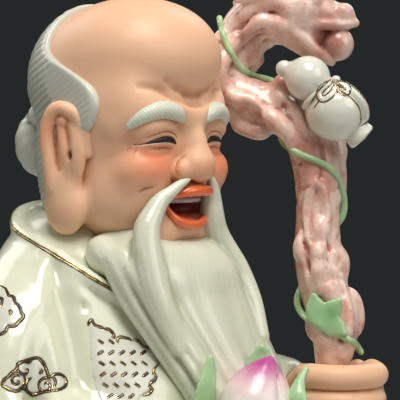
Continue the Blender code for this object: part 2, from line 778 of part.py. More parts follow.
def press_knots(clay):
    """The gnarls: ridges that follow the wood, a long oval one, burls at the sides and holes."""
    oval = []
    for i in range(13):
        turn = 2 * math.pi * i / 12
        oval.append((76.3 + 4.3 * math.sin(turn), -50 + 15 * math.cos(turn)))
    ridges = [
        ([(45, 1), (51, -1.5), (58.5, -7), (62.5, -11)], 2.3),
        ([(61, 1), (68, -6), (70, -13)], 2.4),
        ([(71, -66), (73.5, -76), (76, -88), (79, -100)], 2.2),
        ([(83, -66), (86, -78), (89.5, -90), (89, -101)], 2.2),
        ([(37, 12), (36.5, 22), (42, 34), (51, 42)], 2.4),
    ]
    clay.press_on(roll(near_side(clay, oval), 1.9, steps=2), 1.4)
    for points, thick in ridges:
        clay.press_on(roll(near_side(clay, points), thick), 2.5)
    burls = [(70, -63, 9, 3.6), (87, -70, 13, 3.8), (90.5, -90, 12, 3.4), (75, -96, 8, 3.4)]
    burls += [(62, 3.5, 21, 4.6)]
    for along, up, away, size in burls:
        clay.press_on(lump(crook(along, up, away), (size, size, 1.6 * size)), 4)
    holes = ((76.6, -60, 2.0), (78.6, -68.5, 1.8), (79.5, -76, 2.2), (87, -101, 1.8), (63, -3, 1.8))
    for along, up, size in holes:
        hole = near_side(clay, [(along, up)])[0]
        clay.press_in(lump(hole, (size, 1.4 * size, 1.3 * size)), 1.2)
    for places in ([(52, 0), (56, -3.3), (60, -4.5)], [(55, -11), (57.3, -12.2), (59.5, -13)]):
        clay.press_in(roll(near_side(clay, places), [0.8, 1.4, 0.8]), 1.2)


def dragon_point(along, up, side):
    return crook(along, up, SNOUT_AWAY + side)


def dragon_head():
    """The dragon's head that ends the staff: jaws open on a pearl, brow, horns and mane swept back."""
    p = dragon_point
    upper_lip = [p(67, 33, -5), p(76, 32, -6.2), p(86, 31.6, -5), p(94, 32.6, -0.8)]
    upper_lip += [p(94, 32.6, 0.8), p(86, 31.6, 5), p(76, 32, 6.2), p(67, 33, 5)]
    lower_lip = [p(66, 30, -5.5), p(71.5, 25.5, -6), p(77.5, 20, -5), p(83.5, 16, -1.5)]
    lower_lip += [p(83.5, 16, 1.5), p(77.5, 20, 5), p(71.5, 25.5, 6), p(66, 30, 5.5)]
    lips = [2.6, 2.5, 2.4, 1.7, 1.7, 2.4, 2.5, 2.6]
    on = [
        (lump(p(72, 39, 0), (11, 10, 9)), 5),
        (roll([p(70, 37, 0), p(80, 36.5, 0), p(89, 34.5, 0)], [8, 7.2, 5.2]), 4),
        (lump(p(76, 28.5, 0), (8.5, 5.5, 5)), 2),
        (roll(upper_lip, lips), 1.2),
        (lump(p(89, 37.5, -3), (4.2, 3.4, 3.6)), 2),
        (lump(p(89, 37.5, 3), (4.2, 3.4, 3.6)), 2),
        (roll([p(63, 33, 0), p(71, 24.5, 0), p(79.5, 18, 0)], [8.5, 5.4, 3.6]), 4),
        (roll(lower_lip, lips), 1.2),
        (lump(p(86.2, 23.6, 0), (7.2, 7.2, 7.2)), 0.8),
    ]
    for side in (-1, 1):
        brow = [p(82, 42.5, side * 4), p(75, 47, side * 6), p(67, 45.5, side * 7)]
        horn = [p(68, 46, side * 5), p(58, 51, side * 7), p(47, 51.5, side * 8)]
        high_mane = [p(64, 38, side * 8), p(54, 44, side * 10), p(43, 42, side * 10)]
        low_mane = [p(62, 31, side * 7.5), p(53, 33, side * 9.5), p(46, 28, side * 9)]
        on.append((roll(brow, [2.2, 3.2, 2.0]), 1.5))
        on.append((lump(p(76, 42.0, side * 7.6), (2.8, 2.8, 2.8)), 0.5))
        on.append((roll(horn, [3.6, 3.0, 1.6]), 1.5))
        on.append((roll(high_mane, [3.4, 3.4, 1.8]), 2))
        on.append((roll(low_mane, [3, 3, 1.6]), 2))
    return on


GOURD = [
    # along, up, away, radius
    (63.0, 12.5, 12.0, 4.4),
    (72.5, 8.5, 10.5, 9.4),
    (84.0, -5.0, 8.5, 12.6),
    (95.5, -16.5, 8.0, 5.4),
]


def gourd():
    """The bottle gourd tied to the staff: stem, small lobe, big lobe and mouth."""
    stalk, small, big, mouth = (crook(*g[:3]) for g in GOURD)
    out = (mouth - big) / np.linalg.norm(mouth - big)
    lip = (mouth - 9, mouth + 9, cap_distance(mouth - out * 3.2, out, 3.6, 6.0))
    return [
        (rod(stalk, small, 3.0, 4.6), 1.0),
        (rod(stalk - 0.5 * (small - stalk) / np.linalg.norm(small - stalk), stalk, 3.6, 3.0), 0.5),
        (lump(small, (9.6, 9.6, 9.6)), 3.0),
        (lump(big, (12.8, 12.8, 12.8)), 2.0),
        (rod(big + out * 10, mouth - out * 4, 4.8, 5.0), 1.0),
        ([lip], 1.0),
        (rod(crook(78, 2, 18), crook(72, -4, 20), 5, 6), 3.0),
    ]


def cap_distance(middle, axis, half_height, radius):
    """The distance from a short round cap with a soft rim, across its axis."""

    def distance(x, y, z):
        p = [x - middle[0], y - middle[1], z - middle[2]]
        height = sum(p[i] * axis[i] for i in range(3))
        off = np.sqrt(np.maximum(sum(p[i] ** 2 for i in range(3)) - height**2, 0))
        return soft_max(off - radius - 0.15 * height, np.abs(height) - half_height, 1.6)

    return distance


def gourd_ribbon():
    """The ribbon round the gourd's waist, with two loops and two tails laid on the big lobe."""
    small, big = crook(*GOURD[1][:3]), crook(*GOURD[2][:3])
    axis = (big - small) / np.linalg.norm(big - small)
    near = -AWAY - axis * float(-AWAY @ axis)
    near = near / np.linalg.norm(near)
    side = np.cross(axis, near)
    waist = small + axis * 8.2
    ring = []
    for i in range(17):
        turn = 2 * math.pi * i / 16
        ring.append(waist + 8.6 * (math.cos(turn) * near + math.sin(turn) * side))
    return [(roll(ring, 1.6, steps=2), 0.6)]


def vine_point(along, up, near):
    """A point on the stem's skin, on the near or the far side."""
    centres = np.array([p[:2] for p in STEM])
    fine, thick = path([(p[0], p[1], p[2]) for p in STEM], [p[3] for p in STEM], 8)
    i = int(np.argmin(np.linalg.norm(fine[:, :2] - (along, up), axis=1)))
    off = math.hypot(fine[i, 0] - along, fine[i, 1] - up)
    lift = math.sqrt(max(thick[i] ** 2 - off**2, 0.0))
    return crook(along, up, fine[i, 2] - near * lift)


VINES = [
    # along, up, and which side: one near, nothing at the edge, minus one far
    [
        (35.5, 35, 1), (36.5, 29, 1), (38.8, 22, 1), (41.5, 17.5, 1), (45, 13, 1),
        (50, 10.3, 1), (56.5, 8.5, 1), (62.5, 5, 0), (66, 0, -1),
    ],
    [
        (62, -14, 0), (61.7, -17.5, 1), (64, -21, 1), (70.5, -23.8, 1), (76, -26.3, 1),
        (82.2, -31, 1), (86.6, -37, 0), (87.2, -45, 0), (84, -53, -1),
    ],
    [
        (72, -78, -1), (69, -83, 0), (68.3, -86.5, 1), (70.5, -91.5, 1), (75.5, -94.2, 1),
        (80.5, -96.3, 1), (87, -99.6, 1), (92.5, -103, 1), (95.5, -107.5, 0),
    ],
]


def vine_line(clay, points, lift):
    """The vine's places: on the near side of the wood lifted off its real skin."""
    line = []
    for along, up, near in points:
        place = vine_point(along, up, near)
        if near > 0:
            real = near_side(clay, [(along, up)], lift)[0]
            place = real if np.linalg.norm(real - place) < 7 else place
        line.append(place)
    return line


def vines(clay):
    """The green vine wound round the staff."""
    return [(roll(vine_line(clay, points, 0.5), 1.5), 0.4) for points in VINES]


VINE_LEAF = [
    [(80.8, -97.5), (79.0, -92.0), (76.8, -87.5), (74.6, -83.2)],
    [(80.8, -97.5), (82.0, -92.0), (84.2, -87.5), (86.4, -84.6)],
]


def vine_leaf(clay):
    """The vine's broad leaf, with a point on each side."""
    forms = []
    for half in VINE_LEAF:
        blade = near_side(clay, half, 1.2)
        forms.append((leaf(blade, [2.4, 4.8, 4.2, 1.0], 1.4, -AWAY), 0.8))
    return forms


# Meshes.


def new_object(name, points, faces, colour, triangles, fine_boxes=()):
    """A mesh object in metres, thinned to a number of triangles, and less so inside the fine boxes."""
    mesh = bpy.data.meshes.new(name)
    mesh.from_pydata((points * PART + [0, 0, BASE_HEIGHT]).tolist(), [], faces.tolist())
    obj = bpy.data.objects.new(name, mesh)
    bpy.context.scene.collection.objects.link(obj)
    thin = obj.modifiers.new("Fewer faces", "DECIMATE")
    thin.ratio = triangles / (2 * len(faces))
    thin.use_collapse_triangulate = True
    if fine_boxes:
        group = obj.vertex_groups.new(name="Plain")
        fine = np.zeros(len(points), bool)
        for low, high in fine_boxes:
            fine |= ((points > low) & (points < high)).all(axis=1)
        group.add(np.flatnonzero(~fine).tolist(), 1.0, "REPLACE")
        group.add(np.flatnonzero(fine).tolist(), 0.5, "REPLACE")
        thin.vertex_group = "Plain"
        thin.vertex_group_factor = KEEP_FINE
    material = bpy.data.materials.new(name)
    material.use_nodes = True
    shader = material.node_tree.nodes["Principled BSDF"]
    shader.inputs["Base Color"].default_value = colour
    shader.inputs["Roughness"].default_value = 0.25
    mesh.materials.append(material)
    graph = bpy.context.evaluated_depsgraph_get()
    thinned = bpy.data.meshes.new_from_object(obj.evaluated_get(graph))
    obj.modifiers.clear()
    obj.data = thinned
    part_touching_walls(thinned)
    return obj


def part_touching_walls(mesh):
    """Closes up each edge where the thinning has let two walls touch."""
    work = bmesh.new()
    work.from_mesh(mesh)
    for _ in range(6):
        work.verts.index_update()
        pairs = {}
        for edge in work.edges:
            pairs.setdefault(frozenset(v.index for v in edge.verts), []).append(edge)
        touching = [e for same in pairs.values() for e in same if len(same) > 1 or len(e.link_faces) != 2]
        if not touching:
            break
        bmesh.ops.collapse(work, edges=touching)
    work.to_mesh(mesh)
    work.free()


def cut_flat(obj, height, keep_above=True):
    """Cuts the mesh with a level plane and closes the cut."""
    work = bmesh.new()
    work.from_mesh(obj.data)
    cut = bmesh.ops.bisect_plane(
        work,
        geom=work.verts[:] + work.edges[:] + work.faces[:],
        dist=1e-7,
        plane_co=(0, 0, height),
        plane_no=(0, 0, -1 if keep_above else 1),
        clear_outer=True,
    )
    edges = [e for e in cut["geom_cut"] if isinstance(e, bmesh.types.BMEdge)]
    filled = bmesh.ops.edgeloop_fill(work, edges=edges)
    bmesh.ops.triangulate(work, faces=filled["faces"])
    bmesh.ops.recalc_face_normals(work, faces=work.faces[:])
    work.to_mesh(obj.data)
    work.free()


def hold_shaft_slim(obj):
    """Draws every point of the straight shaft in to the grip's radius."""
    foot = FOOT * PART + [0, 0, BASE_HEIGHT]
    for vertex in obj.data.vertices:
        from_foot = np.array(vertex.co) - foot
        height = float(from_foot @ SHAFT)
        if height > (SHAFT_TOP - 4) * PART:
            continue
        off = from_foot - height * SHAFT
        length = float(np.linalg.norm(off))
        if length > 1e-9:
            vertex.co = (foot + height * SHAFT + off * (GRIP_RADIUS / length)).tolist()


def figure_clay():
    clay = Clay((-92, -100, -22), (100, 80, 392), CLAY_CELL)
    clay.press_on(robe(), 0)
    for form, soft in sleeves():
        clay.press_on(form, soft)
    for form, soft in sleeve_folds():
        clay.press_in(form, soft)
    for form, soft in sash() + shoes():
        clay.press_on(form, soft)
    clay.press_on(base(), 1.5)
    for form, soft in collar():
        clay.press_on(form, soft)
    for form, soft in cuff_hollows():
        clay.press_in(form, soft)
    for form, soft in skull():
        clay.press_on(form, soft)
    press_face(clay)
    press_hair(clay)
    for form, soft in bun():
        clay.press_on(form, soft)
    press_ears(clay)
    clay.press_on(beard(), 1.5)
    for form, soft in moustache() + fist() + peach_hand() + peach() + peach_leaves():
        clay.press_on(form, soft)
    clear = FIST_CLEARANCE / PART
    bore = GRIP_RADIUS / PART + clear
    clay.press_in(rod(FOOT + SHAFT * FIST_LOW * 0.8, FOOT + SHAFT * 262, bore, bore), 0)
    clay.press_in(rod(FOOT + SHAFT * SHAFT_TOP, FOOT + SHAFT * 262, bore, bore + 6), 0)
    return clay


def press_face(clay):
    """The face's own modelling, on the blended skull."""
    press_eyes(clay)
    press_brows(clay)
    press_mouth(clay)


def press_ears(clay):
    on, in_, inner = ears()
    for form, soft in on:
        clay.press_on(form, soft)
    for form, soft in in_:
        clay.press_in(form, soft)
    for form, soft in inner:
        clay.press_on(form, soft)


def staff_clay():
    clay = Clay((30, -102, -10), (92, 4, 404), CLAY_CELL)
    clay.press_on(stem(), 0)
    press_knots(clay)
    for form, soft in vines(clay) + vine_leaf(clay) + dragon_head() + gourd() + gourd_ribbon():
        clay.press_on(form, soft)
    clay.press_on(shaft(), 3)
    return clay


def cut_bore(figure):
    """The bore of the fist, cut true with a cylinder wider than the shaft by the clearance."""
    radius = GRIP_RADIUS + FIST_CLEARANCE
    middle = FOOT + SHAFT * ((FIST_LOW + SHAFT_TOP) / 2)
    length = (SHAFT_TOP - FIST_LOW + 40) * PART
    bpy.ops.mesh.primitive_cylinder_add(vertices=32, radius=radius, depth=length)
    cutter = bpy.context.object
    cutter.name = "fist_bore"
    cutter.location = (middle * PART + [0, 0, BASE_HEIGHT]).tolist()
    cutter.rotation_euler = Vector(SHAFT).to_track_quat("Z", "Y").to_euler()
    cutter.hide_render = True
    cutter.display_type = "WIRE"
    cut = figure.modifiers.new("Bore of the fist", "BOOLEAN")
    cut.operation = "DIFFERENCE"
    cut.object = cutter


def main():
    for obj in list(bpy.data.objects):
        bpy.data.objects.remove(obj)
    points, faces = figure_clay().skin()
    figure = new_object("figure", points, faces, GLAZE, FIGURE_TRIANGLES, FINE_BOXES)
    cut_flat(figure, 0.0)
    cut_bore(figure)
    points, faces = staff_clay().skin()
    staff = new_object("staff", points, faces, PINK, STAFF_TRIANGLES)
    hold_shaft_slim(staff)
    cut_flat(staff, BASE_HEIGHT + FOOT_GAP)


if __name__ == "__main__":
    main()
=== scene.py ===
# The looks of a porcelain statue of the old god of long life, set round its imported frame.
#
# Each skin is modelled as a potter models it. Lumps, rolls and draped walls are pressed together,
# hollows are pressed in, and the skin of the clay becomes the mesh. The forms are those of the
# solids, read on a finer grid, with the finer modelling, the painted lines and the gilding added.

import math

import bpy
import numpy as np
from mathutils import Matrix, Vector
from mathutils.geometry import delaunay_2d_cdt


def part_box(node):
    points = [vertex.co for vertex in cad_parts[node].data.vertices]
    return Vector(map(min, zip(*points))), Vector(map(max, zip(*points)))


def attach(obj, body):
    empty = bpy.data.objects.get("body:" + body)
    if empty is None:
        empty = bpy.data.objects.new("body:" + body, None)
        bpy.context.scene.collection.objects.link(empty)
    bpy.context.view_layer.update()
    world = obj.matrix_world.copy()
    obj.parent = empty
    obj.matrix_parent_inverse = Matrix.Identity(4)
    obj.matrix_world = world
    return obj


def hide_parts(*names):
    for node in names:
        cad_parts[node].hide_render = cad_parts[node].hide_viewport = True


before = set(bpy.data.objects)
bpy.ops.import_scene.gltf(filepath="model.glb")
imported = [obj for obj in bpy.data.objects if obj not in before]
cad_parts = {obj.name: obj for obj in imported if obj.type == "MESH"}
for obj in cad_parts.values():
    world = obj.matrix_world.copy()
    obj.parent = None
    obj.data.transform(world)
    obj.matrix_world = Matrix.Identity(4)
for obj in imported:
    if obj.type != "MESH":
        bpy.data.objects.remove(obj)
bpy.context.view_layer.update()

# The figure's height over its base is 385 parts, and every place and radius below is in those parts.
PARTS = 385.0
BASE_HEIGHT = 0.015
PART = (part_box("figure")[1][2] - BASE_HEIGHT) / PARTS
FAR = 1e3

# Lines of sight start this far off. One that goes on for longer than SIGHT has met nothing.
CAMERA_RAY_START = 110.0
SIDE_RAY_START = 130.0
SIGHT = 175.0
# How near to the skin a line stops, how many steps it may take, and its shortest step.
TOUCH_GAP = 0.02
TOUCH_STEPS = 400
TOUCH_STEP = 0.05

# The head's centre, and the direction that the staff's crook bends in. The photograph looks along AWAY.
HEAD = np.array([0.0, -10.0, 344.0])
CROOK_TURN = math.radians(50)
ALONG = np.array([math.cos(CROOK_TURN), -math.sin(CROOK_TURN), 0.0])
AWAY = np.array([math.sin(CROOK_TURN), math.cos(CROOK_TURN), 0.0])

# The camera: where it looks, in metres, how far it stands off, and its lens in millimetres.
CAMERA_AIM = Vector((0.0173, -0.0309, 0.3173))
CAMERA_DISTANCE = 0.625
CAMERA_LENS = 135.0
CAMERA_AZIMUTH = math.radians(-50)
CAMERA_ELEVATION = math.radians(3)
CAMERA_BACK = Vector((
    math.sin(CAMERA_AZIMUTH) * math.cos(CAMERA_ELEVATION),
    -math.cos(CAMERA_AZIMUTH) * math.cos(CAMERA_ELEVATION),
    math.sin(CAMERA_ELEVATION),
))
CAMERA_PLACE = CAMERA_AIM + CAMERA_DISTANCE * CAMERA_BACK
EYE = (np.array(CAMERA_PLACE) - [0, 0, BASE_HEIGHT]) / PART
UPWARD = np.cross(np.array(CAMERA_BACK), ALONG)

# The shaft's axis: from the foot on the base, through the fist, to where the gnarled wood begins.
FOOT = np.array([56.0, -56.0, 0.0])
GRIP = np.array([61.5, -65.5, 215.0])
SHAFT = (GRIP - FOOT) / np.linalg.norm(GRIP - FOOT)
SHAFT_RADIUS = 6.0
FIST_LOW = 192.0
SHAFT_TOP = 236.0
FIST_CLEARANCE = 0.6
FOOT_GAP = 0.3

# The base, in metres.
BASE_HALF_WIDTH = 0.080
BASE_HALF_DEPTH = 0.074
BASE_ROUNDING = 0.003

# How fine the grid of each skin is, in parts.
SKIN_CELL = 0.66
HAIR_CELL = 0.72
BROW_CELL = 0.34
BEARD_CELL = 0.76
LIP_CELL = 0.36
ROBE_CELL = 1.85
HAND_CELL = 0.95
LEAF_CELL = 0.7
PEACH_CELL = 0.85
WOOD_CELL = 0.88
GOURD_CELL = 0.66
VINE_CELL = 0.55


# Curves and blends.


def curve(at, knots, values):
    """A smooth line through the values at the knots, level beyond the ends."""
    knots = np.asarray(knots, float)
    values = np.asarray(values, float)
    at = np.clip(at, knots[0], knots[-1])
    step = np.diff(knots)
    slope = np.diff(values) / step
    tangent = np.concatenate([[slope[0]], (slope[1:] + slope[:-1]) / 2, [slope[-1]]])
    i = np.clip(np.searchsorted(knots, at, side="right") - 1, 0, len(step) - 1)
    t = (at - knots[i]) / step[i]
    h = step[i]
    return (
        values[i] * (2 * t**3 - 3 * t**2 + 1)
        + tangent[i] * h * (t**3 - 2 * t**2 + t)
        + values[i + 1] * (3 * t**2 - 2 * t**3)
        + tangent[i + 1] * h * (t**3 - t**2)
    )


def path(points, radii, steps=6):
    """A list of points and of radii, made finer by a smooth curve through them."""
    points = np.asarray(points, float)
    radii = np.broadcast_to(np.asarray(radii, float), len(points))
    run = np.concatenate([[0], np.cumsum(np.linalg.norm(np.diff(points, axis=0), axis=1))])
    at = np.linspace(0, run[-1], steps * (len(points) - 1) + 1)
    fine = np.stack([curve(at, run, points[:, i]) for i in range(3)], axis=1)
    return fine, curve(at, run, radii)


def soft_min(a, b, soft):
    if soft <= 0:
        return np.minimum(a, b)
    h = np.clip(0.5 + 0.5 * (b - a) / soft, 0, 1)
    return b * (1 - h) + a * h - soft * h * (1 - h)


def soft_max(a, b, soft):
    return -soft_min(-a, -b, soft)


def turned(x_deg=0, y_deg=0, z_deg=0):
    """A rotation about X, then Y, then Z."""
    cx, sx = math.cos(math.radians(x_deg)), math.sin(math.radians(x_deg))
    cy, sy = math.cos(math.radians(y_deg)), math.sin(math.radians(y_deg))
    cz, sz = math.cos(math.radians(z_deg)), math.sin(math.radians(z_deg))
    about_x = np.array([[1, 0, 0], [0, cx, -sx], [0, sx, cx]])
    about_y = np.array([[cy, 0, sy], [0, 1, 0], [-sy, 0, cy]])
    about_z = np.array([[cz, -sz, 0], [sz, cz, 0], [0, 0, 1]])
    return about_z @ about_y @ about_x


def lump(centre, radii, turn=None):
    """An ellipsoid."""
    centre = np.asarray(centre, float)
    radii = np.asarray(radii, float)
    reach = radii if turn is None else np.full(3, radii.max())

    def distance(x, y, z):
        p = [x - centre[0], y - centre[1], z - centre[2]]
        if turn is not None:
            p = [turn[0, i] * p[0] + turn[1, i] * p[1] + turn[2, i] * p[2] for i in range(3)]
        k0 = np.sqrt(sum((p[i] / radii[i]) ** 2 for i in range(3)))
        k1 = np.sqrt(sum((p[i] / radii[i] ** 2) ** 2 for i in range(3)))
        return k0 * (k0 - 1) / np.maximum(k1, 1e-6)

    return [(centre - reach, centre + reach, distance)]


def rod(a, b, radius_a, radius_b):
    """A straight tapered roll with round ends."""
    a = np.asarray(a, float)
    b = np.asarray(b, float)
    ab = b - a
    length2 = max(float(ab @ ab), 1e-9)

    def distance(x, y, z):
        p = [x - a[0], y - a[1], z - a[2]]
        t = np.clip((p[0] * ab[0] + p[1] * ab[1] + p[2] * ab[2]) / length2, 0, 1)
        off = sum((p[i] - t * ab[i]) ** 2 for i in range(3))
        return np.sqrt(off) - (radius_a + t * (radius_b - radius_a))

    most = max(radius_a, radius_b)
    return [(np.minimum(a, b) - most, np.maximum(a, b) + most, distance)]


def roll(points, radii, steps=5):
    """A roll of clay along a smooth path."""
    fine, thick = path(points, radii, steps)
    forms = []
    for i in range(len(fine) - 1):
        forms += rod(fine[i], fine[i + 1], thick[i], thick[i + 1])
    return forms


def mirrored(points):
    """The same points on the figure's other side."""
    return [(-p[0], *p[1:]) for p in points]


class Clay:
    """A block of clay on a regular grid. What is pressed on is blended in."""

    def __init__(self, low, high, cell):
        self.cell = cell
        self.axes = [np.arange(low[i], high[i] + cell, cell) for i in range(3)]
        self.field = np.full([len(a) for a in self.axes], FAR, np.float32)

    def window(self, low, high):
        """The slices of the grid that cover a box, and the coordinates along them."""
        cut = []
        for axis, least, most in zip(self.axes, low, high):
            first = np.searchsorted(axis, least)
            last = np.searchsorted(axis, most, side="right")
            cut.append(slice(max(first, 0), max(last, first)))
        x, y, z = (axis[s] for axis, s in zip(self.axes, cut))
        return tuple(cut), (x[:, None, None], y[None, :, None], z[None, None, :])

    def stamp(self, forms, soft):
        """The window that the forms reach, and their own joint distance in it."""
        reach = soft + 3 * self.cell
        low = np.min([f[0] for f in forms], axis=0) - reach
        high = np.max([f[1] for f in forms], axis=0) + reach
        cut, _ = self.window(low, high)
        own = np.full_like(self.field[cut], FAR)
        start = [s.start for s in cut]
        for least, most, distance in forms:
            inner, xyz = self.window(least - reach, most + reach)
            local = tuple(slice(s.start - o, s.stop - o) for s, o in zip(inner, start))
            own[local] = np.minimum(own[local], distance(*xyz))
        return cut, own

    def press_on(self, forms, soft=0.0):
        cut, own = self.stamp(forms, soft)
        self.field[cut] = soft_min(self.field[cut], own, soft)

    def press_in(self, forms, soft=0.0):
        cut, own = self.stamp(forms, soft)
        self.field[cut] = soft_max(self.field[cut], -own, soft)

    def add(self, pressed):
        """Forms that come with how softly each blends in, pressed on one after another."""
        for forms, soft in pressed:
            self.press_on(forms, soft)

    def hollow(self, pressed):
        """The same, pressed in."""
        for forms, soft in pressed:
            self.press_in(forms, soft)

    def value(self, point):
        """The field at a point, or a step's worth where nothing is near."""
        at = (np.asarray(point, float) - [a[0] for a in self.axes]) / self.cell
        low = np.clip(at.astype(int), 0, np.array(self.field.shape) - 2)
        t = np.clip(at - low, 0, 1)
        box = self.field[tuple(slice(i, i + 2) for i in low)].astype(float)
        for share in t:
            box = box[0] * (1 - share) + box[1] * share
        return min(float(box), 2.0)

    def touch(self, point, toward):
        """Where a line from a point first meets the clay."""
        point = np.asarray(point, float)
        toward = np.asarray(toward, float) / np.linalg.norm(toward)
        for _ in range(TOUCH_STEPS):
            gap = self.value(point)
            if gap < TOUCH_GAP:
                break
            point = point + toward * max(gap * 0.7, TOUCH_STEP)
        return point

    def skin(self):
        """Points and four-sided faces of the skin: a point in each crossed cell, a face at each edge."""
        f = self.field
        inside = f < 0
        low = tuple(slice(0, -1) for _ in range(3))
        count = np.zeros([n - 1 for n in f.shape], np.int8)
        corners = [(i, j, k) for i in (0, 1) for j in (0, 1) for k in (0, 1)]
        for i, j, k in corners:
            count += inside[i : i + f.shape[0] - 1, j : j + f.shape[1] - 1, k : k + f.shape[2] - 1]
        cells = np.argwhere((count > 0) & (count < 8))
        number = np.full(count.shape, -1, np.int32)
        number[tuple(cells.T)] = np.arange(len(cells))
        values = {c: f[tuple((cells + c).T)] for c in corners}
        total = np.zeros((len(cells), 3))
        hits = np.zeros(len(cells))
        for a in corners:
            for axis in range(3):
                if a[axis]:
                    continue
                b = tuple(1 if i == axis else a[i] for i in range(3))
                crossed = (values[a] < 0) != (values[b] < 0)
                t = values[a][crossed] / (values[a][crossed] - values[b][crossed])
                at = np.tile(np.array(a, float), (len(t), 1))
                at[:, axis] = t
                total[crossed] += at
                hits[crossed] += 1
        points = (cells + total / hits[:, None]) * self.cell + [a[0] for a in self.axes]
        faces = []
        for axis in range(3):
            u, v = (axis + 1) % 3, (axis + 2) % 3
            first = inside[low]
            ahead = [slice(0, -1)] * 3
            ahead[axis] = slice(1, None)
            second = inside[tuple(ahead)]
            edges = np.argwhere(first != second)
            edges = edges[(edges[:, u] > 0) & (edges[:, v] > 0)]
            leaving = first[tuple(edges.T)]
            around = []
            for du, dv in ((-1, -1), (0, -1), (0, 0), (-1, 0)):
                cell = edges.copy()
                cell[:, u] += du
                cell[:, v] += dv
                around.append(number[tuple(cell.T)])
            quads = np.stack(around, axis=1)
            quads[~leaving] = quads[~leaving][:, ::-1]
            faces.append(quads)
        return points, np.concatenate(faces)


def box_of(forms):
    return np.min([f[0] for f in forms], axis=0), np.max([f[1] for f in forms], axis=0)


def flat_cut(low, high, axis, level, beyond):
    """What lies beyond a level across an axis, inside a box: beyond is 1 for above, -1 for below."""

    def distance(x, y, z):
        return beyond * (level - (x, y, z)[axis]) + 0 * (x + y + z)

    return [(np.array(low, float), np.array(high, float), distance)]


def clay_round(pressed, cell, room=3.0):
    """Clay just large enough for forms that come with how softly each blends in."""
    low, high = box_of([f for forms, _ in pressed for f in forms])
    clay = Clay(low - room, high + room, cell)
    clay.add(pressed)
    return clay


def sampled(clay, points):
    """The field and its slope at points."""
    at = (points - [a[0] for a in clay.axes]) / clay.cell
    low = np.clip(np.floor(at).astype(int), 0, np.array(clay.field.shape) - 2)
    t = np.clip(at - low, 0, 1)
    value = np.zeros(len(points))
    slope = np.zeros((len(points), 3))
    for corner in np.ndindex(2, 2, 2):
        share = [t[:, i] if corner[i] else 1 - t[:, i] for i in range(3)]
        sign = [1 if c else -1 for c in corner]
        f = np.clip(clay.field[tuple((low + corner).T)], -3, 3)
        value += f * share[0] * share[1] * share[2]
        slope[:, 0] += f * sign[0] * share[1] * share[2]
        slope[:, 1] += f * share[0] * sign[1] * share[2]
        slope[:, 2] += f * share[0] * share[1] * sign[2]
    return value, slope / clay.cell


def evened(points, faces, rounds):
    """Each point moved halfway to the middle of its neighbours, so many times."""
    a = faces.ravel()
    b = np.roll(faces, -1, axis=1).ravel()
    size = len(points)
    count = np.maximum(np.bincount(a, minlength=size) + np.bincount(b, minlength=size), 1)
    for _ in range(rounds):
        total = [
            np.bincount(a, points[b, i], size) + np.bincount(b, points[a, i], size) for i in range(3)
        ]
        points = 0.5 * points + 0.5 * np.stack(total, axis=1) / count[:, None]
    return points


def skin_of(clay, rounds=2):
    """The clay's skin, with its points evened out and set back on it, so that a gloss shows no steps."""
    points, faces = clay.skin()
    for _ in range(rounds):
        points = evened(points, faces, 1)
        value, slope = sampled(clay, points)
        step = value / np.maximum((slope**2).sum(axis=1), 0.1)
        points = points - slope * np.clip(step, -clay.cell, clay.cell)[:, None]
    return points, faces


def largest(points, faces):
    """Only the largest connected skin: crumbs of clay and bubbles in it are left out."""
    label = np.arange(len(points))
    while True:
        least = label[faces].min(axis=1)
        new = label.copy()
        for i in range(4):
            np.minimum.at(new, faces[:, i], least)
        new = new[new]
        if (new == label).all():
            break
        label = new
    kept = label == np.bincount(label).argmax()
    index = np.cumsum(kept) - 1
    return points[kept], index[faces[kept[faces[:, 0]]]]


def hollowness(points, faces, rounds=14):
    """How far each point lies under the evened-out skin, in parts: positive in a hollow."""
    smooth = evened(points, faces, rounds)
    across = np.cross(points[faces[:, 2]] - points[faces[:, 0]], points[faces[:, 3]] - points[faces[:, 1]])
    normal = np.zeros_like(points)
    for i in range(3):
        for corner in range(4):
            normal[:, i] += np.bincount(faces[:, corner], across[:, i], len(points))
    normal /= np.maximum(np.linalg.norm(normal, axis=1), 1e-9)[:, None]
    return ((smooth - points) * normal).sum(axis=1)


def near(points, centre, radius):
    """One at a centre, fading to nothing at a few radii."""
    return np.exp(-(((points - centre) / radius) ** 2).sum(axis=1))


def near_line(points, line, radius):
    """One along a line of places, fading away from it."""
    fine, _ = path(line, 1.0, 6)
    best = np.zeros(len(points))
    for place in fine:
        best = np.maximum(best, near(points, place, radius))
    return best


# Pieces.


def piece(name, points, faces, material, slot, **shares):
    """A smooth mesh in metres, which rides on the one body. Shares are kept for its material."""
    mesh = bpy.data.meshes.new(name)
    mesh.from_pydata((points * PART + [0, 0, BASE_HEIGHT]).tolist(), [], faces)
    mesh.polygons.foreach_set("use_smooth", np.ones(len(mesh.polygons), bool))
    for key, values in shares.items():
        layer = mesh.attributes.new(key, "FLOAT", "POINT")
        layer.data.foreach_set("value", np.asarray(values, np.float32))
    mesh.materials.append(material)
    mesh.update()
    obj = bpy.data.objects.new(name, mesh)
    bpy.context.scene.collection.objects.link(obj)
    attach(obj, "root")
    return obj


def clay_piece(name, clay, material, slot, pool=1.0, **shares):
    """A piece from clay. Its hollows are kept for the material, as a share of a depth in parts."""
    points, faces = largest(*skin_of(clay))
    found = {key: value(points) for key, value in shares.items()}
    hollow = np.clip(hollowness(points, faces) / pool, -1, 1)
    return piece(name, points, faces.tolist(), material, slot, hollow=hollow, **found)


# Materials.


def share_of(tree, name):
    """A share kept on the mesh."""
    node = tree.nodes.new("ShaderNodeAttribute")
    node.attribute_name = name
    return node.outputs["Fac"]


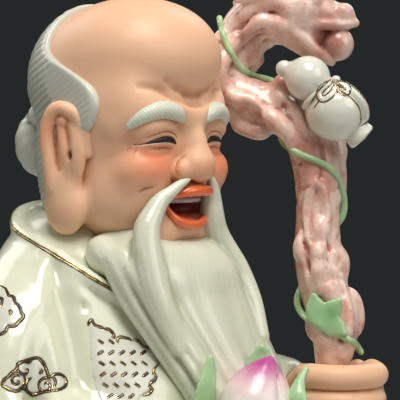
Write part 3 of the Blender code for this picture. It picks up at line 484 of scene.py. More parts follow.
def noise(tree, scale, detail=3.0, roughness=0.5):
    """Soft random marks, so many to the metre, in the object's own place."""
    place = tree.nodes.new("ShaderNodeTexCoord")
    node = tree.nodes.new("ShaderNodeTexNoise")
    node.inputs["Scale"].default_value = scale
    node.inputs["Detail"].default_value = detail
    node.inputs["Roughness"].default_value = roughness
    tree.links.new(place.outputs["Object"], node.inputs["Vector"])
    return node.outputs["Fac"]


def ranged(tree, value, low, high, to_low=0.0, to_high=1.0):
    node = tree.nodes.new("ShaderNodeMapRange")
    node.interpolation_type = "SMOOTHSTEP"
    node.inputs["From Min"].default_value = low
    node.inputs["From Max"].default_value = high
    node.inputs["To Min"].default_value = to_low
    node.inputs["To Max"].default_value = to_high
    tree.links.new(value, node.inputs["Value"])
    return node.outputs["Result"]


def marks(tree, scale, low, high, most=1.0, detail=3.0, roughness=0.5, least=0.0):
    """Soft random marks as a share between least and most."""
    return ranged(tree, noise(tree, scale, detail, roughness), low, high, least, most)


def times(tree, a, b):
    node = tree.nodes.new("ShaderNodeMath")
    node.operation = "MULTIPLY"
    for socket, value in zip(node.inputs, (a, b)):
        if isinstance(value, (int, float)):
            socket.default_value = value
        else:
            tree.links.new(value, socket)
    return node.outputs["Value"]


def blended(tree, share, first, second):
    """One colour where the share is nothing, the other where it is one."""
    node = tree.nodes.new("ShaderNodeMix")
    node.data_type = "RGBA"
    tree.links.new(share, node.inputs["Factor"])
    for socket, colour in ((node.inputs[6], first), (node.inputs[7], second)):
        if isinstance(colour, tuple):
            socket.default_value = (*colour, 1.0)
        else:
            tree.links.new(colour, socket)
    return node.outputs[2]


def finish(name, rough, coat=0.0, metallic=0.0, soft=0.0, specular=0.5):
    """A material, its nodes and its shader, with the values that are the same all over."""
    material = bpy.data.materials.new(name)
    material.use_nodes = True
    tree = material.node_tree
    shader = tree.nodes["Principled BSDF"]
    shader.inputs["Roughness"].default_value = rough
    shader.inputs["Metallic"].default_value = metallic
    shader.inputs["Specular IOR Level"].default_value = specular
    shader.inputs["Coat Weight"].default_value = coat
    shader.inputs["Coat Roughness"].default_value = 0.1
    if soft:
        shader.inputs["Subsurface Weight"].default_value = soft
        shader.inputs["Subsurface Radius"].default_value = (1.0, 0.5, 0.25)
        shader.inputs["Subsurface Scale"].default_value = 0.003
    return material, tree, shader


def paint(tree, shader, colour):
    tree.links.new(colour, shader.inputs["Base Color"])


def grain(tree, shader, height, distance):
    """A fine unevenness of the surface."""
    bump = tree.nodes.new("ShaderNodeBump")
    bump.inputs["Distance"].default_value = distance
    bump.inputs["Strength"].default_value = 0.5
    tree.links.new(height, bump.inputs["Height"])
    tree.links.new(bump.outputs["Normal"], shader.inputs["Normal"])


def glaze(name, pale, pooled_and_shaded, rough=0.12, coat=0.6, depth=0.5, soft=0.12):
    """Glaze that is pale on the crests and greener and darker in the hollows: partly glaze that pools there,
    partly painted shade.
    """
    material, tree, shader = finish(name, rough, coat, soft=soft)
    # Hollows take the pooled colour: greener where the glaze pools, and darker as painted shade.
    hollow = ranged(tree, share_of(tree, "hollow"), -0.15, depth)
    drift = marks(tree, 30.0, 0.35, 0.75, 0.35)
    cloudy = blended(tree, drift, pale, tuple(0.94 * c for c in pale))
    paint(tree, shader, blended(tree, hollow, cloudy, pooled_and_shaded))
    grain(tree, shader, noise(tree, 260.0, 1.0), 0.00008)
    return material


IVORY = (0.75, 0.77, 0.60)
# The colours in the hollows: greener where glaze pools, darker as painted shade.
IVORY_POOLED_AND_SHADED = (0.52, 0.55, 0.38)
HAIR_POOLED_AND_SHADED = (0.30, 0.34, 0.23)


def skin_paint():
    """Flesh-coloured bisque with a satin finish, blushed on the cheeks and red in the mouth, with painted
    shade in its hollows, under the brows and the nose, and in the nostrils and ears.
    """
    material, tree, shader = finish("painted_flesh", 0.44, 0.03, soft=0.15, specular=0.35)
    mottle = marks(tree, 45.0, 0.3, 0.7)
    colour = blended(tree, mottle, (0.86, 0.53, 0.34), (0.83, 0.50, 0.315))
    # Painted shade: darker orange-brown in the hollows and creases.
    hollow = ranged(tree, share_of(tree, "hollow"), 0.02, 0.8)
    colour = blended(tree, hollow, colour, (0.54, 0.20, 0.09))
    # Painted shade under the brows and the dome's creases.
    colour = blended(tree, share_of(tree, "shade"), colour, (0.46, 0.19, 0.085))
    # Blush on the cheeks, the nose and the ears, with painted shade under the nose.
    colour = blended(tree, share_of(tree, "blush"), colour, (0.80, 0.155, 0.045))
    # Dark red in the mouth, and painted shade in the nostrils and the ear canals.
    colour = blended(tree, share_of(tree, "red"), colour, (0.22, 0.018, 0.006))
    paint(tree, shader, colour)
    grain(tree, shader, noise(tree, 900.0, 2.0), 0.00003)
    return material


def enamel(name, first, second, scale=80.0, rough=0.15, coat=0.8):
    """A glossy painted colour that drifts a little."""
    material, tree, shader = finish(name, rough, coat)
    paint(tree, shader, blended(tree, marks(tree, scale, 0.3, 0.7), first, second))
    grain(tree, shader, noise(tree, 500.0, 1.0), 0.00003)
    return material


def gilding():
    """Liquid gold, brown in random patches: partly rubbed, thin gilding, partly painted dark reflection."""
    material, tree, shader = finish("gilding", 0.22, 0.0, metallic=1.0)
    # Brown patches: partly rubbed gilding, partly painted dark reflection.
    worn_and_dark_reflection = marks(tree, 500.0, 0.46, 0.66)
    paint(tree, shader, blended(tree, worn_and_dark_reflection, (0.92, 0.65, 0.26), (0.18, 0.09, 0.035)))
    grain(tree, shader, noise(tree, 1500.0, 2.0), 0.00004)
    return material


def gold_painted_shadow(name):
    """A dark brown line under each raised gold line, which shows beside it as painted shadow and dark
    reflection.
    """
    return enamel(name, (0.030, 0.014, 0.006), (0.06, 0.03, 0.012), 500.0, 0.3, 0.3)


def wood_paint():
    """Pink painted wood, red in its hollows and cracks, and mauve-brown in the dragon's mouth: the pearl's
    own colour and painted shade in the jaws.
    """
    material, tree, shader = finish("pink_wood", 0.3, 0.35, soft=0.08)
    streak = marks(tree, 160.0, 0.42, 0.68, detail=5.0, roughness=0.6)
    colour = blended(tree, streak, (0.88, 0.66, 0.56), (0.78, 0.44, 0.34))
    broad = marks(tree, 42.0, 0.50, 0.66, 0.6)
    colour = blended(tree, broad, colour, (0.50, 0.125, 0.085))
    fleck = marks(tree, 420.0, 0.60, 0.70, 0.55, detail=4.0, roughness=0.65)
    colour = blended(tree, fleck, colour, (0.42, 0.07, 0.05))
    hollow = ranged(tree, share_of(tree, "hollow"), 0.08, 0.7)
    colour = blended(tree, hollow, colour, (0.36, 0.055, 0.03))
    # Mauve-brown in the dragon's mouth: the pearl's own colour and painted shade in the jaws.
    colour = blended(tree, share_of(tree, "mouth"), colour, (0.30, 0.11, 0.085))
    paint(tree, shader, colour)
    grain(tree, shader, noise(tree, 700.0, 3.0), 0.0002)
    return material


def leaf_paint():
    """Pale green glaze, deeper towards the stalk and in the veins."""
    material, tree, shader = finish("green_glaze", 0.28, 0.3, soft=0.1)
    drift = marks(tree, 70.0, 0.3, 0.7)
    colour = blended(tree, drift, (0.36, 0.57, 0.30), (0.48, 0.68, 0.38))
    colour = blended(tree, share_of(tree, "deep"), colour, (0.20, 0.44, 0.17))
    colour = blended(tree, ranged(tree, share_of(tree, "hollow"), 0.1, 0.8), colour, (0.22, 0.42, 0.18))
    paint(tree, shader, colour)
    grain(tree, shader, noise(tree, 400.0, 1.0), 0.00005)
    return material


def peach_paint():
    """Cream glaze sprayed magenta towards the point."""
    material, tree, shader = finish("peach_glaze", 0.26, 0.3, soft=0.12)
    drift = marks(tree, 90.0, 0.3, 0.7, detail=2.0, least=0.75)
    tip = times(tree, share_of(tree, "tip"), drift)
    colour = blended(tree, share_of(tree, "pink"), (0.86, 0.80, 0.72), (0.80, 0.42, 0.52))
    paint(tree, shader, blended(tree, tip, colour, (0.50, 0.06, 0.30)))
    grain(tree, shader, noise(tree, 400.0, 1.0), 0.00004)
    return material


# Places. The head's own coordinates start at its centre. The crook's are along it, up, and away.


def on_head(points):
    return [tuple(np.asarray(p[:3]) + HEAD) + tuple(p[3:]) for p in points]


def head_lump(centre, radii, turn=None):
    return lump(np.asarray(centre) + HEAD, radii, turn)


def head_roll(points, radii):
    return roll(on_head(points), radii)


def crook(along, up, away):
    return HEAD + along * ALONG + away * AWAY + np.array([0, 0, up])


def camera_ray(along, up):
    """The camera's line of sight through a place beside the head's centre, along the crook and up."""
    place = HEAD + along * ALONG + up * UPWARD
    toward_place = (place - EYE) / np.linalg.norm(place - EYE)
    return place - CAMERA_RAY_START * toward_place, toward_place


def side_ray(azimuth, height):
    """Level lines of sight from another side, across and up from a height on the statue's axis."""
    turn = math.radians(azimuth)
    out = np.array([math.sin(turn), -math.cos(turn), 0.0])
    right = np.array([math.cos(turn), math.sin(turn), 0.0])

    def ray(across, up):
        return across * right + [0, 0, height + up] + SIDE_RAY_START * out, -out

    return ray


def seen(clay, places, lift=0.0, ray=camera_ray):
    """Where lines of sight meet the clay, lifted towards the eye."""
    found = []
    for place in places:
        start, toward_place = ray(*place)
        found.append(clay.touch(start, toward_place) - lift * toward_place)
    return found


def runs_on_clay(points, ray, flat):
    """The stretches of a line whose lines of sight met the clay."""
    starts = np.array([ray(p[0], p[1])[0] for p in flat])
    met = np.linalg.norm(points - starts, axis=1) < SIGHT
    stretches = np.split(np.arange(len(points)), np.flatnonzero(np.diff(met.astype(int))) + 1)
    return [run for run in stretches if met[run[0]] and len(run) > 2]


# The head.


def skull():
    """The lumps of the bald dome and the face, each with how softly it blends in."""
    lumps = [
        (head_lump((0, 8, 8), (35, 37, 32)), 0),
        (head_lump((0, -5, 16), (33, 31.5, 25)), 6),
        (head_lump((0, -1.5, -17), (33, 30.5, 41)), 7),
        (head_lump((0, 12, -40), (26, 24, 30)), 10),
        (head_roll([(0, -27, -6), (0, -32.5, -15), (0, -34.5, -25)], [4, 4, 5.5]), 5),
        (head_lump((0, -33.5, -27.5), (8.2, 7.2, 7.0)), 3),
        (head_lump((0, -25, -50), (13, 6.5, 8)), 6),
    ]
    for side in (-1, 1):
        brow_bone = [(27, -14, -11), (19, -25, -5), (9, -30, -4.5), (4, -30.5, -7)]
        lumps += [
            (head_lump((side * 22, -6, -4), (11.5, 22, 16)), 8),
            (head_roll([(side * x, y, z) for x, y, z in brow_bone], 4.2), 5),
            (head_lump((side * 14.5, -23.5, -14), (11, 7, 8)), 4),
            (head_lump((side * 18, -20.5, -29), (12, 11, 10)), 4),
            (head_lump((side * 16, -8, -40), (16, 19, 17)), 7),
            (head_lump((side * 7.3, -31.5, -29), (4.4, 4.8, 4.6)), 1.8),
        ]
    return lumps


def scalp(low, high, cell):
    clay = Clay(HEAD + low, HEAD + high, cell)
    clay.add(skull())
    return clay


# The near half of the face, along and up from the head's centre. The far half is its mirror.
SLIT = [(16.9, -18.6), (15.6, -17.3), (13.4, -16.9), (10.4, -17.3), (7.1, -18.1), (3.3, -18.9), (-0.8, -19.2)]
SLIT_RADII = [0.45, 1.0, 1.15, 1.0, 0.55, 0.28, 0.2]
LID_FOLD = [(17.6, -16.4), (16.3, -14.6), (13.3, -13.8), (9.2, -14.9), (4.2, -16.4)]
PUFF = [(15.5, -12.0), (11.0, -11.2), (5.5, -12.6), (0.8, -15.4)]
LOWER_LID = [(16.3, -19.5), (13.9, -18.9), (8.0, -19.0), (3.5, -19.9), (-1.0, -20.3)]
UNDER_LID = [(15.6, -20.8), (12.1, -20.6), (6.9, -21.2)]
CHEEK_FOLD = [(14.5, -22.6), (9.0, -23.6), (3.0, -22.8)]
WING = [(20.5, -23.9), (18.2, -25.6), (17.2, -28.0), (17.2, -30.3), (18.2, -32.1)]
SMILE = [(1.6, -39.1), (4.0, -37.7), (8.0, -36.8)]
LID_RIM = [(16.4, -19.3), (13.6, -18.5), (10.0, -18.7), (6.0, -19.3), (2.0, -19.9), (-1.4, -20.1)]
CROWS_FEET = [[(-3.2, -22.0), (-2.6, -20.8), (-1.3, -20.1)], [(-0.2, -23.0), (0.4, -21.8), (1.8, -21.1)]]
CREASES = [
    [(2.1, 4.9), (10.0, 3.6), (15.8, 0.4), (21.3, -1.5), (25.2, -2.0), (27.5, -1.8)],
    [(13.4, 7.3), (17.3, 3.9), (23.3, 1.4), (27.5, 1.2)],
]
BROW = [(-4.6, -13.3), (-1.2, -10.6), (3.6, -7.3), (8.4, -5.4), (12.9, -4.8), (17.0, -6.0), (19.4, -8.4)]
BROW_RADII = [0.8, 2.2, 3.2, 3.6, 3.7, 3.3, 1.8]


def both(clay, places, radii, soft, lift=0.0, into=False):
    """A roll along places seen on the near side and its twin, pressed on or pressed in."""
    found = seen(clay, places, lift)
    press = clay.press_in if into else clay.press_on
    for points in (found, mirrored(found)):
        press(roll(points, radii), soft)
    return found


def press_eyelids(clay):
    """Smiling eyes: puffed lids, a fold, and an arched slit over a thin lower lid."""
    both(clay, PUFF, [1.6, 2.6, 2.4, 1.0], 2.0, lift=-1.3)
    slit = seen(clay, SLIT)
    both(clay, LID_FOLD, [0.3, 0.55, 0.6, 0.55, 0.3], 0.7, into=True)
    both(clay, LOWER_LID, [0.5, 0.9, 1.0, 0.8, 0.4], 0.6, lift=-0.35)
    both(clay, UNDER_LID, [0.3, 0.6, 0.3], 0.7, into=True)
    both(clay, CHEEK_FOLD, [0.6, 1.2, 0.6], 1.6, lift=0.6, into=True)
    for points in (slit, mirrored(slit)):
        clay.press_in(roll(points, SLIT_RADII), 0.3)
    return slit


def press_nose(clay):
    """The wings' creases and the nostrils."""
    both(clay, WING, [0.3, 0.6, 0.7, 0.6, 0.4], 0.9, into=True)
    for side in (-1, 1):
        clay.press_in(head_lump((side * 3.6, -33.0, -34.0), (2.0, 2.4, 2.6)), 0.8)


def press_lips_bed(clay):
    """The open mouth and the folds beside it."""
    clay.press_in(head_lump((0, -33, -44.4), (11, 11, 5.8)), 1.6)
    both(clay, SMILE, [0.3, 0.8, 0.4], 1.2, into=True)


def press_forehead(clay):
    """The two creases where the dome overhangs the brows."""
    for places, thick in zip(CREASES, (0.9, 0.7)):
        radii = np.linspace(0.3, thick, len(places))
        both(clay, places, radii, 3.0, lift=0.4, into=True)


def ears():
    """The long-lobed ears, on both sides. Each has a rolled rim, a hollow and a heavy lobe."""
    rim = [
        (33, -4.5, -22, 2.2),
        (34.5, -4.5, -13, 2.5),
        (37, -0.5, -6.0, 2.9),
        (39.5, 5.5, -4.5, 3.1),
        (40.5, 10, -11, 3.0),
        (40, 10, -24, 2.8),
        (38, 9.0, -36, 3.5),
    ]
    on, in_, inner = [], [], []
    for side in (-1, 1):
        points = [(side * x, y, z) for x, y, z, _ in rim]
        on.append((head_lump((side * 34.5, 3.2, -20), (4.5, 9, 17), turned(z_deg=side * 12)), 1.5))
        on.append((head_lump((side * 34.5, 6.0, -43.5), (6.6, 9.8, 11.5)), 5))
        on.append((head_lump((side * 35.0, 8.0, -34), (4.6, 6.4, 9)), 4))
        on.append((head_roll(points, [p[3] for p in rim]), 1.2))
        in_.append((head_lump((side * 42.0, 2.6, -18), (4.6, 5.0, 12.5), turned(z_deg=side * 12)), 1.0))
        fold = [(side * 38, 4.5, -12), (side * 37, 3.0, -22), (side * 36, 1.5, -31)]
        inner.append((head_roll(fold, [2.0, 2.8, 2.4]), 1.0))
        inner.append((head_lump((side * 38.5, 4.0, -9.5), (2.0, 2.8, 2.4)), 0.6))
    return on, in_, inner


def press_ears(clay):
    on, in_, inner = ears()
    clay.add(on)
    clay.hollow(in_)
    clay.add(inner)
    for side in (-1, 1):
        canal = head_lump((side * 37.5, -0.4, -23), (2.2, 1.2, 2.0))
        clay.press_in(canal, 0.8)
        groove = [(side * 40.8, 6.6, -18), (side * 40.0, 6.2, -23), (side * 39.0, 5.0, -29)]
        clay.press_in(head_roll(groove, [0.5, 0.8, 0.4]), 1.0)


def make_head():
    """The bald dome, the face and the ears, and the eyes set in it."""
    clay = scalp([-49, -46, -66], [49, 27, 46], SKIN_CELL)
    press_forehead(clay)
    slit = press_eyelids(clay)
    press_nose(clay)
    for side in (-1, 1):
        clay.press_on(head_lump((side * 12, -24, -54), (7, 6, 7)), 4)
    press_lips_bed(clay)
    press_ears(clay)
    clay.press_in(flat_cut(HEAD + [-60, 24, -80], HEAD + [60, 60, 60], 1, HEAD[1] + 24, 1), 0)

    # Blush on the cheeks, the nose and the ears; the philtrum's share is painted shade under the nose.
    def blush(points):
        share = np.zeros(len(points))
        for side in (-1, 1):
            share = np.maximum(share, 0.86 * near(points, HEAD + [side * 19, -25, -27], (11, 11, 8)))
            share = np.maximum(share, 0.5 * near(points, HEAD + [side * 12, -31, -21.5], (5, 6, 1.3)))
            share = np.maximum(share, 0.30 * near(points, HEAD + [side * 41, 8, -12], 8))
        # Painted shade under the nose.
        philtrum = 0.75 * near(points, HEAD + [0, -34, -35.0], (7.5, 6, 2.6))
        share = np.maximum(share, philtrum)
        return np.maximum(share, 0.30 * near(points, HEAD + [0, -38, -28], (7, 7, 4)))

    # Dark red inside the mouth; the nostrils' and the ear canals' shares are painted shade in these recesses.
    def red(points):
        inside = near(points, HEAD + [0, -25, -44.6], (11.0, 8, 4.6)) * 1.7
        nostrils = sum(near(points, HEAD + [side * 3.6, -33, -34.2], (2.8, 3, 2.4)) for side in (-1, 1))
        canal = sum(near(points, HEAD + [side * 37.5, -0.4, -23], (3, 1.7, 2.4)) for side in (-1, 1))
        return np.clip(np.maximum(inside, np.maximum(0.95 * nostrils, 0.6 * canal)), 0, 1)

    # Painted shade under the dome's creases and under the brows.
    def shade(points):
        share = np.zeros(len(points))
        for places in CREASES:
            line = seen(clay, places)
            share = np.maximum(share, 0.30 * near_line(points, line[1:], 2.5))
            share = np.maximum(share, 0.30 * near_line(points, mirrored(line[1:]), 2.5))
        under = [tuple(p + [0, 0, -3.6]) for p in seen(clay, BROW)]
        share = np.maximum(share, 0.45 * near_line(points, under, 2.2))
        return np.maximum(share, 0.45 * near_line(points, mirrored(under), 2.2))

    flesh = skin_paint()
    clay_piece("head", clay, flesh, "pink_bisque", 0.6, blush=blush, red=red, shade=shade)
    make_eyes(slit)
    make_brows(clay)
    make_face_lines(clay)
    return flesh


def make_eyes(slit):
    """Black eyes in the slits."""
    black = enamel("eye_black", (0.004, 0.002, 0.0015), (0.012, 0.005, 0.003), 300.0, 0.5, 0.0)
    sunk = [p + 0.30 * r * AWAY for p, r in zip(slit, SLIT_RADII)]
    radii = [1.02 * r for r in SLIT_RADII]
    for name, points in (("right_eye", sunk), ("left_eye", mirrored(sunk))):
        clay_piece(name, clay_round([(roll(points, radii), 0)], LIP_CELL), black, "pink_bisque")


# The way in towards the head from before the far brow.
INWARD_LEFT = np.array([-0.45, 0.89, 0.0])


def make_brows(clay):
    """White brows, combed in fine slanting lines."""
    material = glaze("brow_glaze", (0.68, 0.70, 0.58), (0.36, 0.42, 0.30), 0.4, 0.1, 0.3)
    found = seen(clay, BROW, -1.4)
    for name, side in (("right_brow", 1), ("left_brow", -1)):
        points = found
        if side < 0:
            out = [np.array(p) - [2.2, 0, 0] - 20 * INWARD_LEFT for p in mirrored(found)]
            points = [clay.touch(p, INWARD_LEFT) + 1.0 * INWARD_LEFT for p in out]
        brow = clay_round([(roll(points, BROW_RADII), 0)], BROW_CELL)
        cut, (x, y, z) = brow.window(*box_of(roll(points, BROW_RADII)))
        phase = (side * 0.49 * x - 0.59 * y + 0.64 * z) * 2 * math.pi / 1.25
        brow.field[cut] += (0.16 * (0.5 - np.abs(np.sin(phase / 2)))).astype(np.float32)
        clay_piece(name, brow, material, "white_glaze", 0.25)


def tube(points, radius, sides=6):
    """Points and faces of a thin round line, closed at its ends."""
    points = np.asarray(points, float)
    run = np.gradient(points, axis=0)
    run /= np.maximum(np.linalg.norm(run, axis=1), 1e-9)[:, None]
    radius = np.broadcast_to(np.asarray(radius, float), len(points))
    side = np.cross(run, AWAY + [0.01, 0.02, 0.3])
    side /= np.maximum(np.linalg.norm(side, axis=1), 1e-9)[:, None]
    other = np.cross(run, side)
    turn = 2 * math.pi * np.arange(sides) / sides
    ring = (np.cos(turn)[None, :, None] * side[:, None] + np.sin(turn)[None, :, None] * other[:, None])
    places = (points[:, None] + radius[:, None, None] * ring).reshape(-1, 3)
    faces = []
    for i in range(len(points) - 1):
        for j in range(sides):
            k = (j + 1) % sides
            faces.append((i * sides + j, (i + 1) * sides + j, (i + 1) * sides + k, i * sides + k))
    ends = [points[0] - 0.3 * radius[0] * run[0], points[-1] + 0.3 * radius[-1] * run[-1]]
    first, last = len(places), len(places) + 1
    top = (len(points) - 1) * sides
    for j in range(sides):
        k = (j + 1) % sides
        faces.append((first, j, k, k))
        faces.append((last, top + k, top + j, top + j))
    return np.concatenate([places, ends]), faces


def joined(meshes):
    """Several meshes as one list of points and one of faces."""
    points, faces, start = [], [], 0
    for places, corners in meshes:
        points.append(places)
        faces += [tuple(c + start for c in face) for face in corners]
        start += len(places)
    return np.concatenate(points), faces


def line_piece(name, meshes, material, slot):
    """Thin lines as one piece."""
    points, faces = joined(meshes)
    clean = [tuple(dict.fromkeys(face)) for face in faces]
    return piece(name, points, clean, material, slot)


def make_face_lines(clay):
    """The fine orange-brown lines painted by the eyes, the nose and the mouth, and pale lines on the lower
    lids' rims as painted highlight.
    """
    brown = enamel("line_brown", (0.36, 0.10, 0.035), (0.52, 0.18, 0.06), 400.0, 0.3, 0.3)
    lines = [
        (LID_FOLD, [0.12, 0.26, 0.28, 0.22, 0.1]),
        (UNDER_LID, [0.1, 0.26, 0.1]),
        (WING, [0.1, 0.2, 0.24, 0.22, 0.12]),
        (SMILE, [0.1, 0.28, 0.1]),
        (CROWS_FEET[0], [0.08, 0.17, 0.08]),
        (CROWS_FEET[1], [0.08, 0.17, 0.08]),
    ]
    meshes = []
    for places, radii in lines:
        fine, thick = path([(a, u, 0) for a, u in places], radii, 5)
        points = np.array(seen(clay, [(p[0], p[1]) for p in fine], -0.06))
        meshes.append(tube(points, thick))
        if places in (LID_FOLD, UNDER_LID, WING):
            meshes.append(tube(np.array(mirrored(points)), thick))
    line_piece("face_lines", meshes, brown, "pink_bisque")
    # Pale lines along the lower lids' rims: painted highlight.
    pale = enamel("lid_painted_highlight", (0.84, 0.66, 0.54), (0.78, 0.58, 0.46), 400.0, 0.3, 0.3)
    rim = np.array(seen(clay, LID_RIM, -0.02))
    rim, thick = path(rim, [0.1, 0.24, 0.26, 0.22, 0.16, 0.08], 5)
    line_piece("lid_rim_highlights", [tube(rim, thick), tube(np.array(mirrored(rim)), thick)], pale, "pink_bisque")


def make_mouth():
    """The lips, the teeth and the tongue."""
    red = enamel("lip_red", (0.84, 0.13, 0.03), (0.90, 0.20, 0.06), 300.0, 0.2)
    upper = [(12.5, -30.5, -39.8), (6.5, -34.4, -37.6), (0, -35.8, -37.2)]
    upper += mirrored(upper[-2::-1])
    lower = [(12.3, -28.3, -43.4), (9.6, -30.2, -48.0), (5, -31.8, -50.4), (0, -32.4, -51.0)]
    lower += mirrored(lower[-2::-1])
    upper_clay = clay_round([(head_roll(upper, [0.7, 2.1, 2.3, 2.1, 0.7]), 0)], LIP_CELL)
    lower_clay = clay_round([(head_roll(lower, [0.7, 1.7, 2.0, 2.0, 2.0, 1.7, 0.7]), 0)], LIP_CELL)
    clay_piece("upper_lip", upper_clay, red, "pink_bisque", 0.4)
    clay_piece("lower_lip", lower_clay, red, "pink_bisque", 0.4)
    pale = enamel("tooth_white", (0.42, 0.38, 0.38), (0.52, 0.47, 0.46), 300.0, 0.3, 0.3)
    arch = [(9.8, -26.0, -40.9), (5.2, -29.6, -40.8), (0, -31.0, -40.8)]
    arch += mirrored(arch[-2::-1])
    teeth = clay_round([(head_roll(arch, 1.4), 0)], LIP_CELL)
    for i in range(-4, 5):
        turn = math.radians(15 * i)
        gap = HEAD + [math.sin(turn) * 11.5, -20 - math.cos(turn) * 12.6, -41.5]
        teeth.press_in(rod(gap + [0, 0, -3], gap + [0, 0, 3], 0.22, 0.22), 0.3)
    clay_piece("teeth", teeth, pale, "white_glaze", 0.4)
    pink = enamel("tongue_pink", (0.66, 0.10, 0.06), (0.74, 0.16, 0.10), 200.0, 0.2)
    tongue = clay_round([(head_lump((0, -24, -49.5), (7.5, 7.5, 2.6)), 0)], LIP_CELL)
    tongue.press_in(head_roll([(0, -33, -46.6), (0, -20, -46.6)], 0.7), 1.2)
    clay_piece("tongue", tongue, pink, "pink_bisque", 0.4)


# The hairline at the temple: heights over the head's centre, and how far back it is there.
HAIRLINE_UP = [-70, -26, -21, -17, -13, -8, -2, 4, 9, 14, 19, 25, 60]
HAIRLINE_BACK = [13, 13, 5, -1, -7.5, -11, -12.3, -9, -1, 9, 17, 20, 20]


def make_hair():
    """Combed-back hair as a thicker skin behind the hairline, and the knot at the back."""
    clay = scalp([-47, -18, -68], [47, 66, 46], HAIR_CELL)
    x, y, z = (a.reshape([-1 if i == j else 1 for j in range(3)]) for i, a in enumerate(clay.axes))
    x, y, z = x - HEAD[0], y - HEAD[1], z - HEAD[2]
    nape = lump((0, 17, -24), (30, 27, 40))[0][2](x, y, z)
    own = soft_min(clay.field - 2.6, nape, 8)
    phase = (z + 0.46 * y + 1.5 * np.sin(y / 9) + 0.8 * np.sin(z / 6)) * 2 * math.pi / 2.9
    combed = 0.5 * np.cos(phase) + 0.12 * np.cos(phase * 2.5)
    front = curve(z, HAIRLINE_UP, HAIRLINE_BACK) - y
    own = own + 0.38 * combed * np.clip((-1.0 - front) / 2, 0, 1)
    own = soft_max(own, front * 0.75, 2.2)
    clay.field = own.astype(np.float32)
    knot = Clay(HEAD + [-18, 30, -38], HEAD + [18, 66, 22], HAIR_CELL)
    knot.add(bun())
    cut, (x, y, z) = knot.window(HEAD + [-18, 30, -38], HEAD + [18, 66, 22])
    phase = (np.arctan2(x - HEAD[0], z - HEAD[2] + 8) * 9 + 0.5 * (y - HEAD[1]) / 2) * 2
    knot.field[cut] += (0.35 * (0.5 - np.abs(np.sin(phase / 2)))).astype(np.float32)
    material = glaze("hair_glaze", (0.60, 0.61, 0.53), HAIR_POOLED_AND_SHADED, 0.34, 0.15, 0.5)
    clay_piece("hair", clay, material, "white_glaze", 0.5)
    clay_piece("hair_knot", knot, material, "white_glaze", 0.5)


def bun():
    """The knot of hair at the back of the head: a low lobe, a high one and the band between."""
    return [
        (head_lump((-1, 53, -19), (14, 10.5, 15)), 2.5),
        (head_lump((-1, 49, 5), (10.5, 8.5, 13)), 2.5),
        (head_roll([(-9, 48, -7), (0, 54, -6), (8, 48, -7)], 4.5), 1.5),
    ]


# Heights under the head's centre at which the beard's outline is given.
BEARD_LEVELS = [-190, -178, -160, -140, -119, -98, -80, -67, -58, -50, -42]
# How far under the head's centre the beard starts, away from the locks of the moustache.
BEARD_EDGE = 57


def beard_form():
    """The long beard, hung from the jaw and laid over the chest, combed in locks down to its tip."""
    half_width = [2, 8, 15, 22, 28, 31.5, 35, 36, 33, 25, 14]
    half_depth = [2, 5, 8, 9.5, 11.5, 14.5, 18, 20.5, 19.5, 12, 4]
    across = [16, 15.5, 15, 13, 10, 5, 2, 0.5, 0, 0, 0]
    forward = [-57, -57, -56, -53, -48, -37, -26.5, -20, -14, -11, -9]
    low, high = HEAD + [-40, -72, -192], HEAD + [42, 12, -42]

    def distance(x, y, z):
        z = z - HEAD[2]
        a = curve(z, BEARD_LEVELS, half_width)
        b = curve(z, BEARD_LEVELS, half_depth)
        x = x - HEAD[0] - curve(z, BEARD_LEVELS, across)
        y = y - HEAD[1] - curve(z, BEARD_LEVELS, forward)
        rho = np.sqrt((x / a) ** 2 + (y / b) ** 2)
        side = np.arctan2(x / a, -y / b)
        sway = side + 0.10 * np.sin(z / 22 + 2.5 * side)
        locks = 0.55 * np.cos(7 * sway + 0.6) + 0.3 * np.cos(17 * sway + 1.0)
        fine = 0.22 * (0.6 - np.abs(np.sin(43 * sway + 0.4 * np.sin(z / 13))))
        fine = fine * (0.25 + 0.75 * np.clip((np.abs(side) - 0.6) / 0.5, 0, 1))
        depth = np.clip((-56 - z) / 25, 0, 1) * np.clip(b / 11, 0, 1)
        own = (rho - 1) * np.minimum(a, b) - depth * locks + np.clip((-50 - z) / 12, 0, 1) * fine
        edge = BEARD_EDGE - 7 * np.exp(-(((np.abs(x) - 21) / 7) ** 2))
        return soft_max(own * 0.85, z + edge, 5.0)

    return [(low, high, distance)]


MOUSTACHE = {
    # across, forward, up, radius
    "right": [
        (-6.8, -35.4, -32.6, 0.8),
        (-9.5, -34.4, -33.8, 1.7),
        (-14.5, -32.3, -37.6, 2.6),
        (-18.1, -30.3, -40.8, 3.5),
        (-21.7, -29.2, -46.2, 4.4),
        (-24.6, -28.8, -52.0, 5.3),
        (-26.5, -33.8, -71.0, 5.2),
        (-25.0, -38.5, -84.0, 4.2),
        (-21.5, -42.0, -97.0, 2.8),
    ],
    "left": [
        (8.0, -34.6, -33.3, 1.8),
        (10.5, -33.2, -37.5, 3.0),
        (12.0, -31.5, -42.0, 4.2),
        (12.6, -31.0, -47.0, 5.0),
        (15.8, -30.5, -55.0, 5.2),
        (25.0, -35.0, -71.0, 4.8),
        (27.5, -40.5, -84.0, 4.2),
        (26.0, -46.5, -97.0, 3.0),
    ],
}


def make_beard():
    """The beard, with the two long locks of the moustache laid into it."""
    material = glaze("beard_glaze", (0.72, 0.74, 0.59), (0.40, 0.43, 0.29), 0.24, 0.3, 0.6)
    clay = Clay(HEAD + [-42, -76, -194], HEAD + [43, 14, -30], BEARD_CELL)
    clay.press_on(beard_form(), 0)
    for side in (-1, 1):
        clay.press_on(head_lump((side * 30, -9, -62.5), (5, 6.5, 7)), 5)
    clay.add(moustache())
    for lock in MOUSTACHE.values():
        spine, radii = path(on_head([p[:3] for p in lock]), [p[3] for p in lock], 8)
        comb(clay, spine, radii, 13, 0.22)
    clay_piece("beard", clay, material, "white_glaze", 0.7)


def moustache():
    """Two long locks from beside the nose, round the mouth and down into the beard."""
    locks = MOUSTACHE.values()
    return [(head_roll([p[:3] for p in lock], [p[3] for p in lock]), 2.5) for lock in locks]


